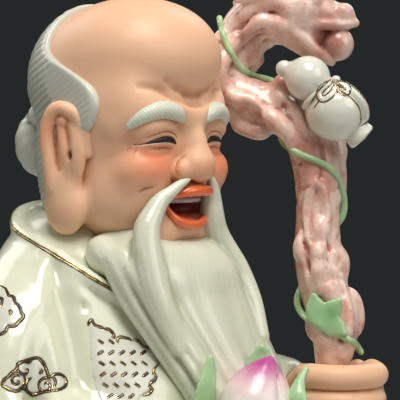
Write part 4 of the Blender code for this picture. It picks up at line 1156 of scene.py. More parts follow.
def comb(clay, spine, radii, strands, deep):
    """Strands along a lock: grooves that run with its spine and fade towards its end."""
    cut, (x, y, z) = clay.window(spine.min(axis=0) - 8, spine.max(axis=0) + 8)
    x, y, z = np.broadcast_arrays(x, y, z)
    close = np.abs(clay.field[cut]) < 1.5
    places = np.stack([x[close], y[close], z[close]], axis=1)
    best = np.full(len(places), FAR)
    turn = np.zeros(len(places))
    share = np.zeros(len(places))
    for i in range(len(spine) - 1):
        run = (spine[i + 1] - spine[i]) / np.linalg.norm(spine[i + 1] - spine[i])
        side = np.cross(run, [0, 1, 0])
        side = side / np.linalg.norm(side)
        other = np.cross(run, side)
        off = places - spine[i]
        far = np.linalg.norm(off, axis=1)
        closer = far < best
        best[closer] = far[closer]
        turn[closer] = np.arctan2(off[closer] @ side, off[closer] @ other)
        within = np.clip((1.5 * radii[i] - far[closer]) / (0.4 * radii[i]), 0, 1)
        share[closer] = within * np.clip(2.5 * (1 - i / len(spine)), 0, 1)
    field = clay.field[cut]
    field[close] += (deep * share * (0.6 - np.abs(np.sin(turn * strands / 2)))).astype(np.float32)
    clay.field[cut] = field


# The robe and the base.


def robe():
    """The long robe as one draped wall round the body, with folds that deepen towards the hem."""
    levels = [-6, 0, 30, 80, 130, 170, 200, 230, 252, 268.5, 280, 290, 299]
    half_width = [66, 66, 61, 55, 54, 57, 61, 62, 60, 56, 49, 38, 25]
    half_depth = [56, 56, 51, 45, 47, 51, 52, 50, 43, 38, 33, 28, 21]
    middle = [0, 0, 0, 0, -2, -6, -6, -3, 4, 8, 11, 13, 15]
    top = 299.0

    def distance(x, y, z):
        a = curve(z, levels, half_width)
        b = curve(z, levels, half_depth)
        y = y - curve(z, levels, middle)
        rho = np.sqrt((x / a) ** 2 + (y / b) ** 2)
        angle = np.arctan2(x, -y)
        drop = np.clip((165 - z) / 165, 0, 1)
        wander = angle + 0.10 * np.sin(3 * angle + 1.0) + 0.05 * np.sin(z / 28)
        pleats = np.cos(13 * wander) * (0.6 + 2.6 * drop) * np.clip((215 - z) / 60, 0, 1)
        own = (rho - 1) * np.minimum(a, b) - pleats * np.clip(rho, 0, 1)
        return soft_max(own * 0.9, z - top, 6.0)

    return [(np.array([-80, -70, -6.0]), np.array([80, 70, top]), distance)]


def base():
    """A low plinth of rounded outline. Its underside is cut flat once the skin is read."""
    half_width = BASE_HALF_WIDTH / PART
    half_depth = BASE_HALF_DEPTH / PART
    height = BASE_HEIGHT / PART
    rounding = BASE_ROUNDING / PART

    def distance(x, y, z):
        squareness = 3.0
        rho = (np.abs(x / half_width) ** squareness + np.abs(y / half_depth) ** squareness)
        side = (rho ** (1 / squareness) - 1) * min(half_width, half_depth)
        return soft_max(soft_max(side, z, rounding), -z - 2 * height, 0)

    low = np.array([-half_width, -half_depth, -2 * height])
    return [(low, -low * np.array([1, 1, 0]), distance)]


# The collar's edge, from the nape round the neck and down to where it crosses under the beard.
COLLAR = [
    (0, 40, 298), (-20, 36, 296), (-36, 22, 290), (-42, 0, 283), (-40, -13, 277), (-31, -26, 267),
    (0, -40, 248),
]


def collar():
    """The two crossed edges of the robe, round the neck and down under the beard."""
    return [(roll(points, 3.2), 1.5) for points in (COLLAR, mirrored(COLLAR))]


def sleeves():
    """Both arms in their wide sleeves, which hang in a deep bag below the forearm."""
    right_arm = [(-40, 8, 258), (-54, 4, 245), (-66, -4, 222)]
    right_arm += [(-62, -28, 210), (-44, -50, 208), (-31, -62, 208)]
    left_arm = [(40, 8, 258), (54, 5, 245), (67, 2, 224), (72, -14, 216), (71, -34, 216)]
    drape = roll([(-68, -4, 205), (-63, -28, 200), (-45, -50, 198)], [20, 17, 11])
    return [
        (roll(right_arm, [22, 25, 23, 19, 15, 13.5]), 10),
        (roll(left_arm, [22, 25, 21, 17, 14]), 10),
        (drape, 8),
        (lump((-62, -24, 165), (13, 30, 50), turned(z_deg=-32)), 9),
        (lump((-46, -46, 182), (9, 16, 30), turned(x_deg=10, z_deg=-38)), 7),
        (lump((69, -8, 168), (13, 26, 50), turned(z_deg=4)), 9),
    ]


def cuff_hollows():
    """The mouths of the sleeves."""
    return [
        (rod((-27, -66, 208), (-40, -55, 206), 10.5, 8), 1.0),
        (rod((70.5, -46, 215), (71.5, -30, 212), 11, 8), 1.0),
    ]


def sleeve_folds():
    """Soft hollows that the sleeves and the chest fold into."""
    right = [
        [(-60, -20, 262), (-70, -24, 235), (-72, -22, 215)],
        [(-50, -36, 246), (-58, -42, 225), (-52, -50, 212)],
        [(-78, -12, 200), (-76, -18, 170), (-70, -22, 140)],
        [(-66, -42, 196), (-68, -40, 170), (-64, -36, 145)],
        [(-28, -50, 262), (-38, -58, 240), (-40, -60, 225)],
    ]
    left = [
        [(66, -16, 258), (80, -14, 236), (84, -10, 215)],
        [(84, -4, 200), (83, -2, 170), (80, -2, 140)],
        [(78, -32, 200), (80, -28, 170), (77, -24, 140)],
        [(30, -50, 262), (42, -54, 240), (50, -50, 222)],
    ]
    return [(roll(points, [3, 4.5, 3]), 5) for points in right + left]


def shoes():
    """The tips of the shoes under the hem."""
    return [
        (lump((-24, -58, 5), (14, 16, 9)), 2),
        (lump((24, -57, 5), (14, 16, 9)), 2),
    ]


def sash():
    """The knotted sash, which hangs below the beard."""
    ends = [(-6, -57, 158), (-9, -55, 110), (-12, -56, 62)]
    other = [(8, -57, 158), (10, -55, 115), (13, -56, 78)]
    return [
        (roll(ends, [4, 5.5, 6.5]), 2),
        (roll(other, [4, 5.5, 6.5]), 2),
    ]


def make_robe():
    """The robe with its sleeves, edges, sash and shoes, in one glazed skin with the base."""
    clay = Clay((-92, -84, -18), (100, 80, 308), ROBE_CELL)
    clay.press_on(robe(), 0)
    clay.add(sleeves())
    clay.hollow(sleeve_folds())
    clay.add(sash() + shoes())
    clay.press_on(base(), 1.5)
    clay.add(collar())
    clay.hollow(cuff_hollows())
    press_folds(clay)
    clay.press_in(flat_cut([-99, -99, -40], [110, 99, 0], 2, -BASE_HEIGHT / PART, -1), 0)
    material = glaze("robe_glaze", IVORY, IVORY_POOLED_AND_SHADED, 0.2, 0.35, 1.1)
    make_ornaments(clay)
    return clay_piece("robe", clay, material, "white_glaze", 1.6)


# The gold ornaments, along and up from the head's centre as the camera sees them.
BADGE_MIDDLE = -56.25
BADGE_EDGE = [
    (-56.2, -77.5), (-54.8, -78.0), (-53.5, -78.9), (-52.8, -80.4), (-52.1, -81.8), (-50.3, -82.3),
    (-49.8, -83.6), (-49.4, -84.8), (-48.1, -85.8), (-47.4, -87.2), (-47.0, -88.9), (-46.0, -90.2),
    (-46.9, -91.8), (-48.4, -93.1), (-49.3, -94.2), (-50.8, -94.6), (-52.6, -94.6), (-53.1, -95.7),
    (-53.3, -96.3), (-55.2, -97.6), (-56.2, -98.0),
]
BADGE_EDGE += [(round(2 * BADGE_MIDDLE - a, 1), u) for a, u in BADGE_EDGE[-2:0:-1]]
BADGE = [
    [(-56.2, -82.5), (-55.0, -83.3), (-55.2, -85.4), (-56.2, -87.1)],
    [(-59.6, -88.3), (-60.8, -87.1), (-62.1, -88.8), (-60.6, -90.2), (-59.2, -89.2)],
    [(-52.3, -88.3), (-51.4, -88.3), (-51.4, -89.3), (-52.2, -89.2)],
]
MEDALLION_EDGE = [
    (-19.3, -94.2), (-17.9, -91.9), (-15.8, -94.4), (-12.7, -95.4), (-9.0, -97.6), (-6.2, -99.0),
    (-2.5, -99.7), (0.0, -100.1), (3.3, -102.9), (7.7, -104.4), (10.1, -108.5), (7.7, -113.9),
    (8.8, -115.3), (6.4, -118.1), (7.3, -120.5), (3.3, -123.1), (-1.2, -128.3), (-7.9, -130.0),
    (-13.8, -125.8), (-16.7, -118.3), (-18.3, -108.3), (-19.2, -100.0),
]
MEDALLION = [
    [
        (-19.3, -94.2), (-18.9, -92.9), (-17.9, -91.9), (-17.1, -93.5), (-15.8, -94.4), (-14.2, -94.8),
        (-12.7, -95.4),
    ],
    [(-12.7, -95.4), (-10.8, -95.8), (-9.0, -97.6), (-8.7, -99.2), (-9.8, -98.8)],
    [(-6.7, -101.5), (-7.3, -100.2), (-6.2, -99.0), (-4.2, -99.3), (-2.5, -99.7), (-1.5, -100.7)],
    [
        (-1.5, -100.7), (0.0, -100.1), (1.7, -101.0), (3.3, -102.9), (5.4, -103.2), (7.7, -104.4),
        (9.6, -106.5), (10.1, -108.5), (9.4, -110.8),
    ],
    [
        (9.4, -110.8), (7.9, -112.3), (7.7, -113.9), (8.8, -115.3), (8.2, -116.9), (6.4, -118.1),
        (6.0, -119.5), (7.3, -120.5), (6.0, -122.3), (3.3, -123.1),
    ],
]
# Inside the medallion are plain rows of slanting strokes, which are no writing.
MEDALLION_ROWS = [
    # up, where the first stroke is, how many strokes
    (-101.0, -15.5, 2),
    (-105.5, -15.5, 5),
    (-110.0, -15.0, 5),
    (-114.5, -14.5, 5),
    (-119.0, -13.5, 4),
    (-123.5, -11.5, 3),
]
# From stroke to stroke, and how far each reaches to the side and up from its middle.
STROKE_STEP = 4.4
STROKE_REACH = (1.3, 0.9)
CLOUD_EDGE = [
    (-55.4, -118.8), (-52.3, -115.4), (-50.6, -113.4), (-48.8, -112.1), (-48.5, -110.2), (-46.2, -109.1),
    (-42.5, -107.9), (-40.2, -107.7), (-37.2, -111.2), (-35.2, -115.6), (-33.3, -114.4), (-30.6, -114.6),
    (-28.6, -116.7), (-28.8, -119.2), (-30.8, -120.6), (-33.8, -121.2), (-37.1, -121.5), (-40.0, -122.2),
    (-42.5, -122.8), (-44.4, -121.6), (-46.8, -120.0), (-48.5, -121.2), (-51.2, -121.1), (-53.3, -120.0),
]
CLOUD = [
    [
        (-55.4, -118.8), (-54.4, -116.7), (-52.3, -115.4), (-50.6, -113.4), (-48.3, -113.3),
        (-46.5, -114.8), (-45.8, -117.1), (-46.8, -119.6), (-48.5, -121.2), (-51.2, -121.1),
        (-53.3, -120.0), (-55.4, -118.8),
    ],
    [(-47.5, -115.4), (-49.6, -114.8), (-51.0, -116.7), (-49.8, -118.6), (-48.2, -117.8), (-49.0, -116.6)],
    [
        (-48.8, -112.1), (-48.5, -110.2), (-46.2, -109.1), (-44.0, -109.4), (-42.5, -107.9),
        (-40.2, -107.7), (-38.3, -109.0), (-37.2, -111.2), (-37.3, -112.9),
    ],
    [(-48.8, -112.1), (-47.5, -114.0), (-45.4, -114.2), (-44.6, -112.7), (-45.6, -112.0)],
    [(-39.8, -114.2), (-38.5, -113.1), (-39.4, -112.3)],
    [(-42.5, -115.6), (-44.3, -116.7), (-45.2, -119.2), (-44.4, -121.6), (-42.5, -122.8), (-40.0, -122.2)],
    [
        (-34.6, -116.9), (-36.9, -115.9), (-39.4, -117.3), (-39.6, -120.0), (-37.5, -121.6),
        (-35.2, -120.5), (-35.4, -118.5), (-37.1, -118.0), (-37.3, -119.2),
    ],
    [
        (-35.2, -115.6), (-33.3, -114.4), (-30.6, -114.6), (-28.6, -116.7), (-28.8, -119.2),
        (-30.8, -120.6), (-34.2, -121.5),
    ],
    [(-34.0, -115.2), (-33.0, -117.3), (-33.5, -120.2)],
]


# How high an enamelled patch stands, how far its edge sinks back, and how far apart its points are.
PATCH_LIFT = 0.32
PATCH_SINK = 0.25
PATCH_GRID = 1.1
# The gold lines: how far the bright crest stands out and the dark line of painted shadow and reflection lies
# in, and how thick each is, all as shares of the line's own radius.
GOLD_OUT = 0.35
GOLD_THICK = 0.55
SHADOW_IN = 0.75
SHADOW_THICK = 1.6
MOTIF_LINE = 0.5
RIBBON_LINE = 0.30


def patch(clay, edge, ray, lift=PATCH_LIFT):
    """A thin raised patch of enamel inside a closed outline, laid on a skin."""
    flat, _ = path([(a, u, 0) for a, u in edge + edge[:1]], 1.0, 2)
    outline = [Vector((p[0], p[1])) for p in flat[:-1]]
    low, high = flat.min(axis=0), flat.max(axis=0)
    across, up = (np.arange(low[i], high[i], PATCH_GRID) for i in range(2))
    inner = [Vector((a, u)) for a in across for u in up]
    rim = list(range(len(outline)))
    found = delaunay_2d_cdt(outline + inner, [], [rim], 1, 1e-4)
    places, corners = found[0], found[2]
    points = np.array(seen(clay, [(p.x, p.y) for p in places], lift, ray))
    border = np.array([min((p - q).length for q in outline) < 0.05 for p in places])
    back = np.array([ray(p.x, p.y)[1] for p in places])
    points[border] += (lift + PATCH_SINK) * back[border]
    starts = np.array([ray(p.x, p.y)[0] for p in places])
    met = np.linalg.norm(points - starts, axis=1) < SIGHT
    faces = np.array([face for face in corners if met[list(face)].all()])
    used, faces = np.unique(faces, return_inverse=True)
    return points[used], [tuple(face) for face in faces.reshape(-1, 3)]


def moved(designs, middle, to, size=1.0):
    """Designs moved so that their middle comes to a place."""
    return [[((a - middle[0]) * size + to[0], (u - middle[1]) * size + to[1]) for a, u in d] for d in designs]


OTHER_MOTIFS = [
    # the side it is seen from, its height, which motif, how far across, and its size
    (48, 238, 0, 4, 1.0), (180, 205, 0, 0, 1.6), (130, 235, 2, 0, 1.0), (-125, 215, 2, 0, 1.0),
    (180, 105, 2, 0, 1.1), (-30, 105, 2, 6, 1.1), (35, 95, 2, -6, 1.1), (90, 90, 0, 0, 1.3),
    (-95, 90, 0, 0, 1.3), (140, 130, 0, 0, 1.0), (-140, 130, 0, 0, 1.0), (180, 262, 2, 0, 0.9),
]


def row_strokes():
    """Rows of short strokes, which slant one way and the other from row to row."""
    strokes = []
    for row, (up, first, count) in enumerate(MEDALLION_ROWS):
        right, rise = STROKE_REACH
        rise = rise if row % 2 else -rise
        for i in range(count):
            middle = first + right + STROKE_STEP * i
            strokes.append([(middle - right, up - rise), (middle, up), (middle + right, up + rise)])
    return strokes


def make_ornaments(clay):
    """Gold lines on the robe: those that the camera sees, and more of the same on the other sides."""
    # The dark lines beside the gold are painted shadow and reflection.
    gold, dark = gilding(), gold_painted_shadow("gold_painted_shadow")
    motifs = [(BADGE_EDGE, BADGE), (MEDALLION_EDGE, MEDALLION + row_strokes()), (CLOUD_EDGE, CLOUD)]
    middles = [(-56, -88), (-4, -110), (-42, -115)]
    patches = []
    for name, (edge, lines) in zip(("badge", "medallion", "cloud"), motifs):
        outline = [] if name == "medallion" else [edge + edge[:1]]
        gold_lines(name, clay, lines + outline, gold, dark, MOTIF_LINE, lift=PATCH_LIFT)
        patches.append(patch(clay, edge, camera_ray))
    for number, (azimuth, height, kind, across, size) in enumerate(OTHER_MOTIFS):
        edge, lines = motifs[kind]
        to = (across, 0)
        edge = moved([edge], middles[kind], to, size)[0]
        lines = moved(lines, middles[kind], to, size)
        ray = side_ray(azimuth, height)
        closed = lines + [edge + edge[:1]]
        gold_lines(f"motif_{number + 1}", clay, closed, gold, dark, MOTIF_LINE, ray, PATCH_LIFT)
        patches.append(patch(clay, edge, ray))
    enamelled = enamel("motif_enamel", (0.70, 0.70, 0.61), (0.66, 0.66, 0.57), 90.0, 0.2, 0.4)
    line_piece("motif_enamel", patches, enamelled, "white_glaze")
    bright, edge = [], []
    for side in (-1, 1):
        for lean in (0.45, 0.8):
            points = collar_line(clay, side, lean)
            bright.append(tube(points, 0.24))
            # A dark line just under each gold line: painted shadow.
            edge.append(tube(points + [0, 0, -0.22], 0.26))
    line_piece("collar_gold", bright, gold, "white_glaze")
    line_piece("collar_painted_shadow", edge, dark, "white_glaze")


def collar_line(clay, side, lean):
    """A line along the collar's roll, on its outer face, higher or lower by how far it leans."""
    fine, _ = path([(side * x, y, z) for x, y, z in COLLAR], 1.0, 9)
    line = []
    for place in fine:
        out = np.array([place[0], place[1], 0.0])
        out = out / max(np.linalg.norm(out), 1.0) + [0, 0, lean]
        out = out / np.linalg.norm(out)
        line.append(clay.touch(place + 7 * out, -out) + 0.1 * out)
    return np.array(line)


FOLD_RIDGES = [
    [(-36.4, -64), (-36.6, -74), (-36.2, -86)],
    [(-31, -65), (-26.5, -75), (-21.5, -84)],
]
FOLD_HOLLOWS = [
    [(-33.6, -70), (-30.2, -90), (-24.0, -113)],
    [(-28.5, -84), (-24.5, -100), (-20.5, -117)],
]


def press_folds(clay):
    """The soft folds below the shoulder."""
    for places in FOLD_RIDGES:
        clay.press_on(roll(seen(clay, places, -1.6), [1.2, 2.4, 1.2]), 5)
    for places in FOLD_HOLLOWS:
        clay.press_in(roll(seen(clay, places, 2.2), [2.0, 3.2, 2.0]), 6)
    clay.press_in(lump(seen(clay, [(-20.8, -86.1)])[0], (1.7, 1.7, 1.9)), 1.5)


# The hands, the peach and its leaves.


def finger(points, radius):
    return roll(points, radius, steps=4)


def on_grip(right, near, z):
    """A point beside the shaft: right along the crook, near the viewer of that side, at a height."""
    axis = FOOT + SHAFT * ((z - FOOT[2]) / SHAFT[2])
    return axis + right * ALONG - near * AWAY


def fist():
    """The left hand, closed round the staff, thumb up."""
    forms = [
        (rod(on_grip(-4, -30, 215), on_grip(6, -14, 215), 10, 11), 4),
        (lump(on_grip(13, -8, 214), (9, 9, 18)), 4),
        (lump(on_grip(17, 0, 214), (7, 7, 17.5)), 3),
    ]
    for i, z in enumerate((227.6, 217.4, 207.4, 198.4)):
        size = 5.3 - 0.3 * i
        back = 1.2 * i
        turn = [(18, -3), (18.5, 6), (11, 12), (0, 13), (-9.5 + back, 8.5)]
        forms.append((finger([on_grip(r, n, z) for r, n in turn], size), 0.8))
    thumb = [on_grip(-12, -18, 216), on_grip(-13.5, -9, 221), on_grip(-11, -1, 227)]
    forms.append((finger(thumb, [6, 5.2, 4.4]), 1.5))
    return forms


def peach_hand():
    """The right hand, held out flat under the peach with the fingers curled up in front."""
    forms = [
        (rod((-32, -62, 206), (-16, -72, 204), 9, 9), 4),
        (lump((-8, -75, 203), (15, 12, 6.5)), 4),
    ]
    for i, y in enumerate((-88, -80.5, -73, -66)):
        tip = 13 - 0.6 * abs(i - 1)
        points = [(-4, y + 3, 203), (7, y, 203), (tip, y, 209), (tip - 1, y + 1, 215)]
        forms.append((finger(points, [4.6, 4.6, 4.2, 3.6]), 1.0))
    forms.append((finger([(-18, -78, 206), (-19, -87, 210), (-15, -91, 216)], [5, 4.8, 4]), 1.2))
    return forms


# The middle of the peach.
PEACH = np.array([-4.0, -77.0, 224.0])


def peach():
    """The peach of long life: round, with a leaning point."""
    return [
        (lump(PEACH, (15.5, 14, 14.5)), 1.0),
        (roll([PEACH + [1, -1, 6], PEACH + [2.5, -2.5, 13], PEACH + [4, -4, 18.5]], [11, 6, 1.4]), 3.0),
    ]


def leaf(points, half_widths, thickness, face):
    """A blade along a smooth path, as wide as given at each point and flat across its face."""
    fine, width = path(points, half_widths, 4)
    face = np.asarray(face, float)
    forms = []
    for i in range(len(fine)):
        run = fine[min(i + 1, len(fine) - 1)] - fine[max(i - 1, 0)]
        length = max(float(np.linalg.norm(run)), 1.0)
        run = run / length
        across = np.cross(face, run)
        across = across / np.linalg.norm(across)
        turn = np.stack([across, np.cross(run, across), run], axis=1)
        forms += lump(fine[i], (max(width[i], thickness), thickness, max(0.8 * length, 1.2)), turn)
    return forms


def peach_leaves():
    """The peach's leaves: one on each side and one behind the point."""
    toward = -AWAY
    left = [(27, -137, -46), (28.3, -125, -49), (29, -115, -50), (30.8, -106, -48), (31, -101.5, -47)]
    right = [(63, -137, -50), (64.2, -125, -52), (64.2, -116.5, -51), (65.4, -111, -48), (68, -106, -45)]
    behind = [(51, -125, -33), (51.2, -114.5, -34), (50.8, -107, -34), (51.6, -101.5, -33), (51.8, -99, -33)]
    left, right, behind = ([crook(*p) for p in blade] for blade in (left, right, behind))
    return [
        (leaf(left, [6.2, 6.0, 4.6, 3.0, 1.4], 1.5, toward + 0.5 * ALONG), 0.8),
        (leaf(right, [6.0, 5.6, 4.4, 2.4, 0.9], 1.5, toward - 0.2 * ALONG), 0.8),
        (leaf(behind, [7.0, 7.2, 6.2, 3.8, 1.8], 1.5, toward), 0.8),
    ]


def make_hands(flesh):
    clay = clay_round(fist(), HAND_CELL)
    clear = SHAFT_RADIUS + FIST_CLEARANCE
    clay.press_in(rod(FOOT + SHAFT * FIST_LOW * 0.8, FOOT + SHAFT * 262, clear, clear), 0)
    clay_piece("left_hand", clay, flesh, "pink_bisque", 0.7)
    clay_piece("right_hand", clay_round(peach_hand(), HAND_CELL), flesh, "pink_bisque", 0.7)


def make_peach():
    clay = clay_round(peach(), PEACH_CELL)
    groove = [PEACH + [-6, -13.5, -8], PEACH + [-3, -14.2, 0], PEACH + [0, -11.5, 8], PEACH + [3, -6, 15]]
    clay.press_in(roll(groove, [0.5, 1.1, 0.9, 0.3]), 2.0)

    def tip(points):
        return np.clip((points[:, 2] - PEACH[2] - 10.5) / 6.5, 0, 1) ** 1.3

    def pink(points):
        return np.clip((points[:, 2] - PEACH[2] - 2) / 13, 0, 1) ** 1.5

    clay_piece("peach", clay, peach_paint(), "white_glaze", 0.6, tip=tip, pink=pink)
    green = leaf_paint()
    for name, (forms, _) in zip(("peach_leaf_left", "peach_leaf_right", "peach_leaf_behind"), peach_leaves()):
        leaf_clay = clay_round([(forms, 0)], LEAF_CELL)

        def deep(points, top=box_of(forms)[1][2]):
            return 0.75 * np.clip((top - points[:, 2] - 8) / 22, 0, 1)

        clay_piece(name, leaf_clay, green, "white_glaze", 0.5, deep=deep)
    return green


# The staff.


STEM = [
    # along, up from the head's centre, away, radius
    (83.2, -112.0, 10.5, 6.2),
    (84.4, -105.0, 11.0, 8.8),
    (84.0, -94.6, 12.0, 10.2),
    (79.8, -80.0, 14.0, 10.3),
    (77.6, -66.0, 15.5, 10.2),
    (77.4, -52.0, 17.0, 9.3),
    (77.3, -41.7, 18.0, 9.2),
    (76.8, -27.5, 19.5, 10.2),
    (71.5, -14.0, 21.0, 9.8),
    (61.5, -5.0, 23.0, 9.6),
    (50.5, -1.0, 25.5, 9.6),
    (41.8, 4.0, 28.0, 9.0),
    (39.6, 13.0, 29.0, 9.0),
    (42.3, 23.0, 29.0, 9.4),
    (47.5, 32.0, 28.5, 10.0),
    (58.5, 40.0, 27.0, 10.0),
    (67.0, 38.5, 26.0, 9.6),
]
# How far back the middle of the dragon's snout lies.
SNOUT_AWAY = 25.0


def stem():
    """The gnarled wood, from above the fist, round the crook, to the dragon's neck."""
    points = [crook(*p[:3]) for p in STEM]
    return roll(points, [p[3] for p in STEM], steps=4)


def near_side(clay, points, lift=0.0):
    """Places on the side of the staff that the gourd hangs on, given along and up, and lifted off."""
    return [clay.touch(crook(along, up, -40), AWAY) - lift * AWAY for along, up in points]


def press_knots(clay):
    """The gnarls: ridges that follow the wood, a long oval one, burls at the sides and holes."""
    oval = []
    for i in range(13):
        turn = 2 * math.pi * i / 12
        oval.append((76.3 + 4.3 * math.sin(turn), -50 + 15 * math.cos(turn)))
    ridges = [
        ([(45, 1), (51, -1.5), (58.5, -7), (62.5, -11)], 2.3),
        ([(61, 1), (68, -6), (70, -13)], 2.4),
        ([(71, -66), (73.5, -76), (76, -88), (79, -100)], 2.2),
        ([(83, -66), (86, -78), (89.5, -90), (89, -101)], 2.2),
        ([(37, 12), (36.5, 22), (42, 34), (51, 42)], 2.4),
    ]
    clay.press_on(roll(near_side(clay, oval), 1.9, steps=2), 1.4)
    for points, thick in ridges:
        clay.press_on(roll(near_side(clay, points), thick), 2.5)
    burls = [(70, -63, 9, 3.6), (87, -70, 13, 3.8), (90.5, -90, 12, 3.4), (75, -96, 8, 3.4)]
    burls += [(62, 3.5, 21, 4.6)]
    for along, up, away, size in burls:
        clay.press_on(lump(crook(along, up, away), (size, size, 1.6 * size)), 4)
    holes = ((76.6, -60, 2.0), (78.6, -68.5, 1.8), (79.5, -76, 2.2), (87, -101, 1.8), (63, -3, 1.8))
    for along, up, size in holes:
        hole = near_side(clay, [(along, up)])[0]
        clay.press_in(lump(hole, (size, 1.4 * size, 1.3 * size)), 1.2)
    for places in ([(52, 0), (56, -3.3), (60, -4.5)], [(55, -11), (57.3, -12.2), (59.5, -13)]):
        clay.press_in(roll(near_side(clay, places), [0.8, 1.4, 0.8]), 1.2)


def dragon_point(along, up, side):
    return crook(along, up, SNOUT_AWAY + side)


def dragon_head():
    """The dragon's head that ends the staff: jaws open on a pearl, brow, horns and mane swept back."""
    p = dragon_point
    upper_lip = [p(67, 33, -5), p(76, 32, -6.2), p(86, 31.6, -5), p(94, 32.6, -0.8)]
    upper_lip += [p(94, 32.6, 0.8), p(86, 31.6, 5), p(76, 32, 6.2), p(67, 33, 5)]
    lower_lip = [p(66, 30, -5.5), p(71.5, 25.5, -6), p(77.5, 20, -5), p(83.5, 16, -1.5)]
    lower_lip += [p(83.5, 16, 1.5), p(77.5, 20, 5), p(71.5, 25.5, 6), p(66, 30, 5.5)]
    lips = [2.6, 2.5, 2.4, 1.7, 1.7, 2.4, 2.5, 2.6]
    on = [
        (lump(p(72, 39, 0), (11, 10, 9)), 5),
        (roll([p(70, 37, 0), p(80, 36.5, 0), p(89, 34.5, 0)], [8, 7.2, 5.2]), 4),
        (lump(p(76, 28.5, 0), (8.5, 5.5, 5)), 2),
        (roll(upper_lip, lips), 1.2),
        (lump(p(89, 37.5, -3), (4.2, 3.4, 3.6)), 2),
        (lump(p(89, 37.5, 3), (4.2, 3.4, 3.6)), 2),
        (roll([p(63, 33, 0), p(71, 24.5, 0), p(79.5, 18, 0)], [8.5, 5.4, 3.6]), 4),
        (roll(lower_lip, lips), 1.2),
        (lump(p(86.2, 23.6, 0), (7.2, 7.2, 7.2)), 0.8),
    ]
    for side in (-1, 1):
        brow = [p(82, 42.5, side * 4), p(75, 47, side * 6), p(67, 45.5, side * 7)]
        horn = [p(68, 46, side * 5), p(58, 51, side * 7), p(47, 51.5, side * 8)]
        high_mane = [p(64, 38, side * 8), p(54, 44, side * 10), p(43, 42, side * 10)]
        low_mane = [p(62, 31, side * 7.5), p(53, 33, side * 9.5), p(46, 28, side * 9)]
        on.append((roll(brow, [2.2, 3.2, 2.0]), 1.5))
        on.append((lump(p(76, 42.0, side * 7.6), (2.8, 2.8, 2.8)), 0.5))
        on.append((roll(horn, [3.6, 3.0, 1.6]), 1.5))
        on.append((roll(high_mane, [3.4, 3.4, 1.8]), 2))
        on.append((roll(low_mane, [3, 3, 1.6]), 2))
    return on


GOURD = [
    # along, up, away, radius
    (63.0, 12.5, 12.0, 4.4),
    (72.5, 8.5, 10.5, 9.4),
    (84.0, -5.0, 8.5, 12.6),
    (95.5, -16.5, 8.0, 5.4),
]


def gourd():
    """The bottle gourd tied to the staff: stem, small lobe, big lobe and mouth."""
    stalk, small, big, mouth = (crook(*g[:3]) for g in GOURD)
    out = (mouth - big) / np.linalg.norm(mouth - big)
    lip = (mouth - 9, mouth + 9, cap_distance(mouth - out * 3.2, out, 3.6, 6.0))
    return [
        (rod(stalk, small, 3.0, 4.6), 1.0),
        (rod(stalk - 0.5 * (small - stalk) / np.linalg.norm(small - stalk), stalk, 3.6, 3.0), 0.5),
        (lump(small, (9.6, 9.6, 9.6)), 3.0),
        (lump(big, (12.8, 12.8, 12.8)), 2.0),
        (rod(big + out * 10, mouth - out * 4, 4.8, 5.0), 1.0),
        ([lip], 1.0),
        (rod(crook(78, 2, 18), crook(72, -4, 20), 5, 6), 3.0),
    ]


def cap_distance(middle, axis, half_height, radius):
    """The distance from a short round cap with a soft rim, across its axis."""

    def distance(x, y, z):
        p = [x - middle[0], y - middle[1], z - middle[2]]
        height = sum(p[i] * axis[i] for i in range(3))
        off = np.sqrt(np.maximum(sum(p[i] ** 2 for i in range(3)) - height**2, 0))
        return soft_max(off - radius - 0.15 * height, np.abs(height) - half_height, 1.6)

    return distance


def gourd_ribbon():
    """The ring of the ribbon round the gourd's waist."""
    small, big = crook(*GOURD[1][:3]), crook(*GOURD[2][:3])
    axis = (big - small) / np.linalg.norm(big - small)
    near = -AWAY - axis * float(-AWAY @ axis)
    near = near / np.linalg.norm(near)
    side = np.cross(axis, near)
    waist = small + axis * 8.2
    ring = []
    for i in range(17):
        turn = 2 * math.pi * i / 16
        ring.append(waist + 8.6 * (math.cos(turn) * near + math.sin(turn) * side))
    return [(roll(ring, 1.6, steps=2), 0.6)]


def vine_point(along, up, near):
    """A point on the stem's skin, on the near or the far side."""
    centres = np.array([p[:2] for p in STEM])
    fine, thick = path([(p[0], p[1], p[2]) for p in STEM], [p[3] for p in STEM], 8)
    i = int(np.argmin(np.linalg.norm(fine[:, :2] - (along, up), axis=1)))
    off = math.hypot(fine[i, 0] - along, fine[i, 1] - up)
    lift = math.sqrt(max(thick[i] ** 2 - off**2, 0.0))
    return crook(along, up, fine[i, 2] - near * lift)


VINES = [
    # along, up, and which side: one near, nothing at the edge, minus one far
    [
        (35.5, 35, 1), (36.5, 29, 1), (38.8, 22, 1), (41.5, 17.5, 1), (45, 13, 1),
        (50, 10.3, 1), (56.5, 8.5, 1), (62.5, 5, 0), (66, 0, -1),
    ],
    [
        (62, -14, 0), (61.9, -17.5, 1), (64.6, -20.6, 1), (70.5, -23.8, 1), (77, -26.3, 1),
        (83.0, -30.0, 1), (87.0, -36, 1), (88.8, -43, 1), (88.6, -49, 0), (85, -55, -1),
    ],
    [
        (72, -78, -1), (69, -83, 0), (68.3, -86.5, 1), (70.5, -91.5, 1), (75.5, -94.2, 1),
        (80.5, -96.3, 1), (87, -99.6, 1), (92.5, -103, 1), (95.5, -107.5, 0),
    ],
]


VINE_LEAF = [
    [(77.4, -94.8), (76.2, -90.5), (75.4, -86.5), (74.8, -82.4)],
    [(77.4, -94.8), (80.0, -91.0), (82.8, -87.6), (85.4, -84.4)],
    [(77.4, -94.8), (81.0, -94.6), (84.6, -96.0), (87.4, -98.0)],
]


def vine_line(clay, points, lift):
    """The vine's places: on the near side of the wood lifted off its real skin."""
    line = []
    for along, up, near in points:
        place = vine_point(along, up, near)
        if near > 0:
            real = near_side(clay, [(along, up)], lift)[0]
            place = real if np.linalg.norm(real - place) < 7 else place
        line.append(place)
    return line


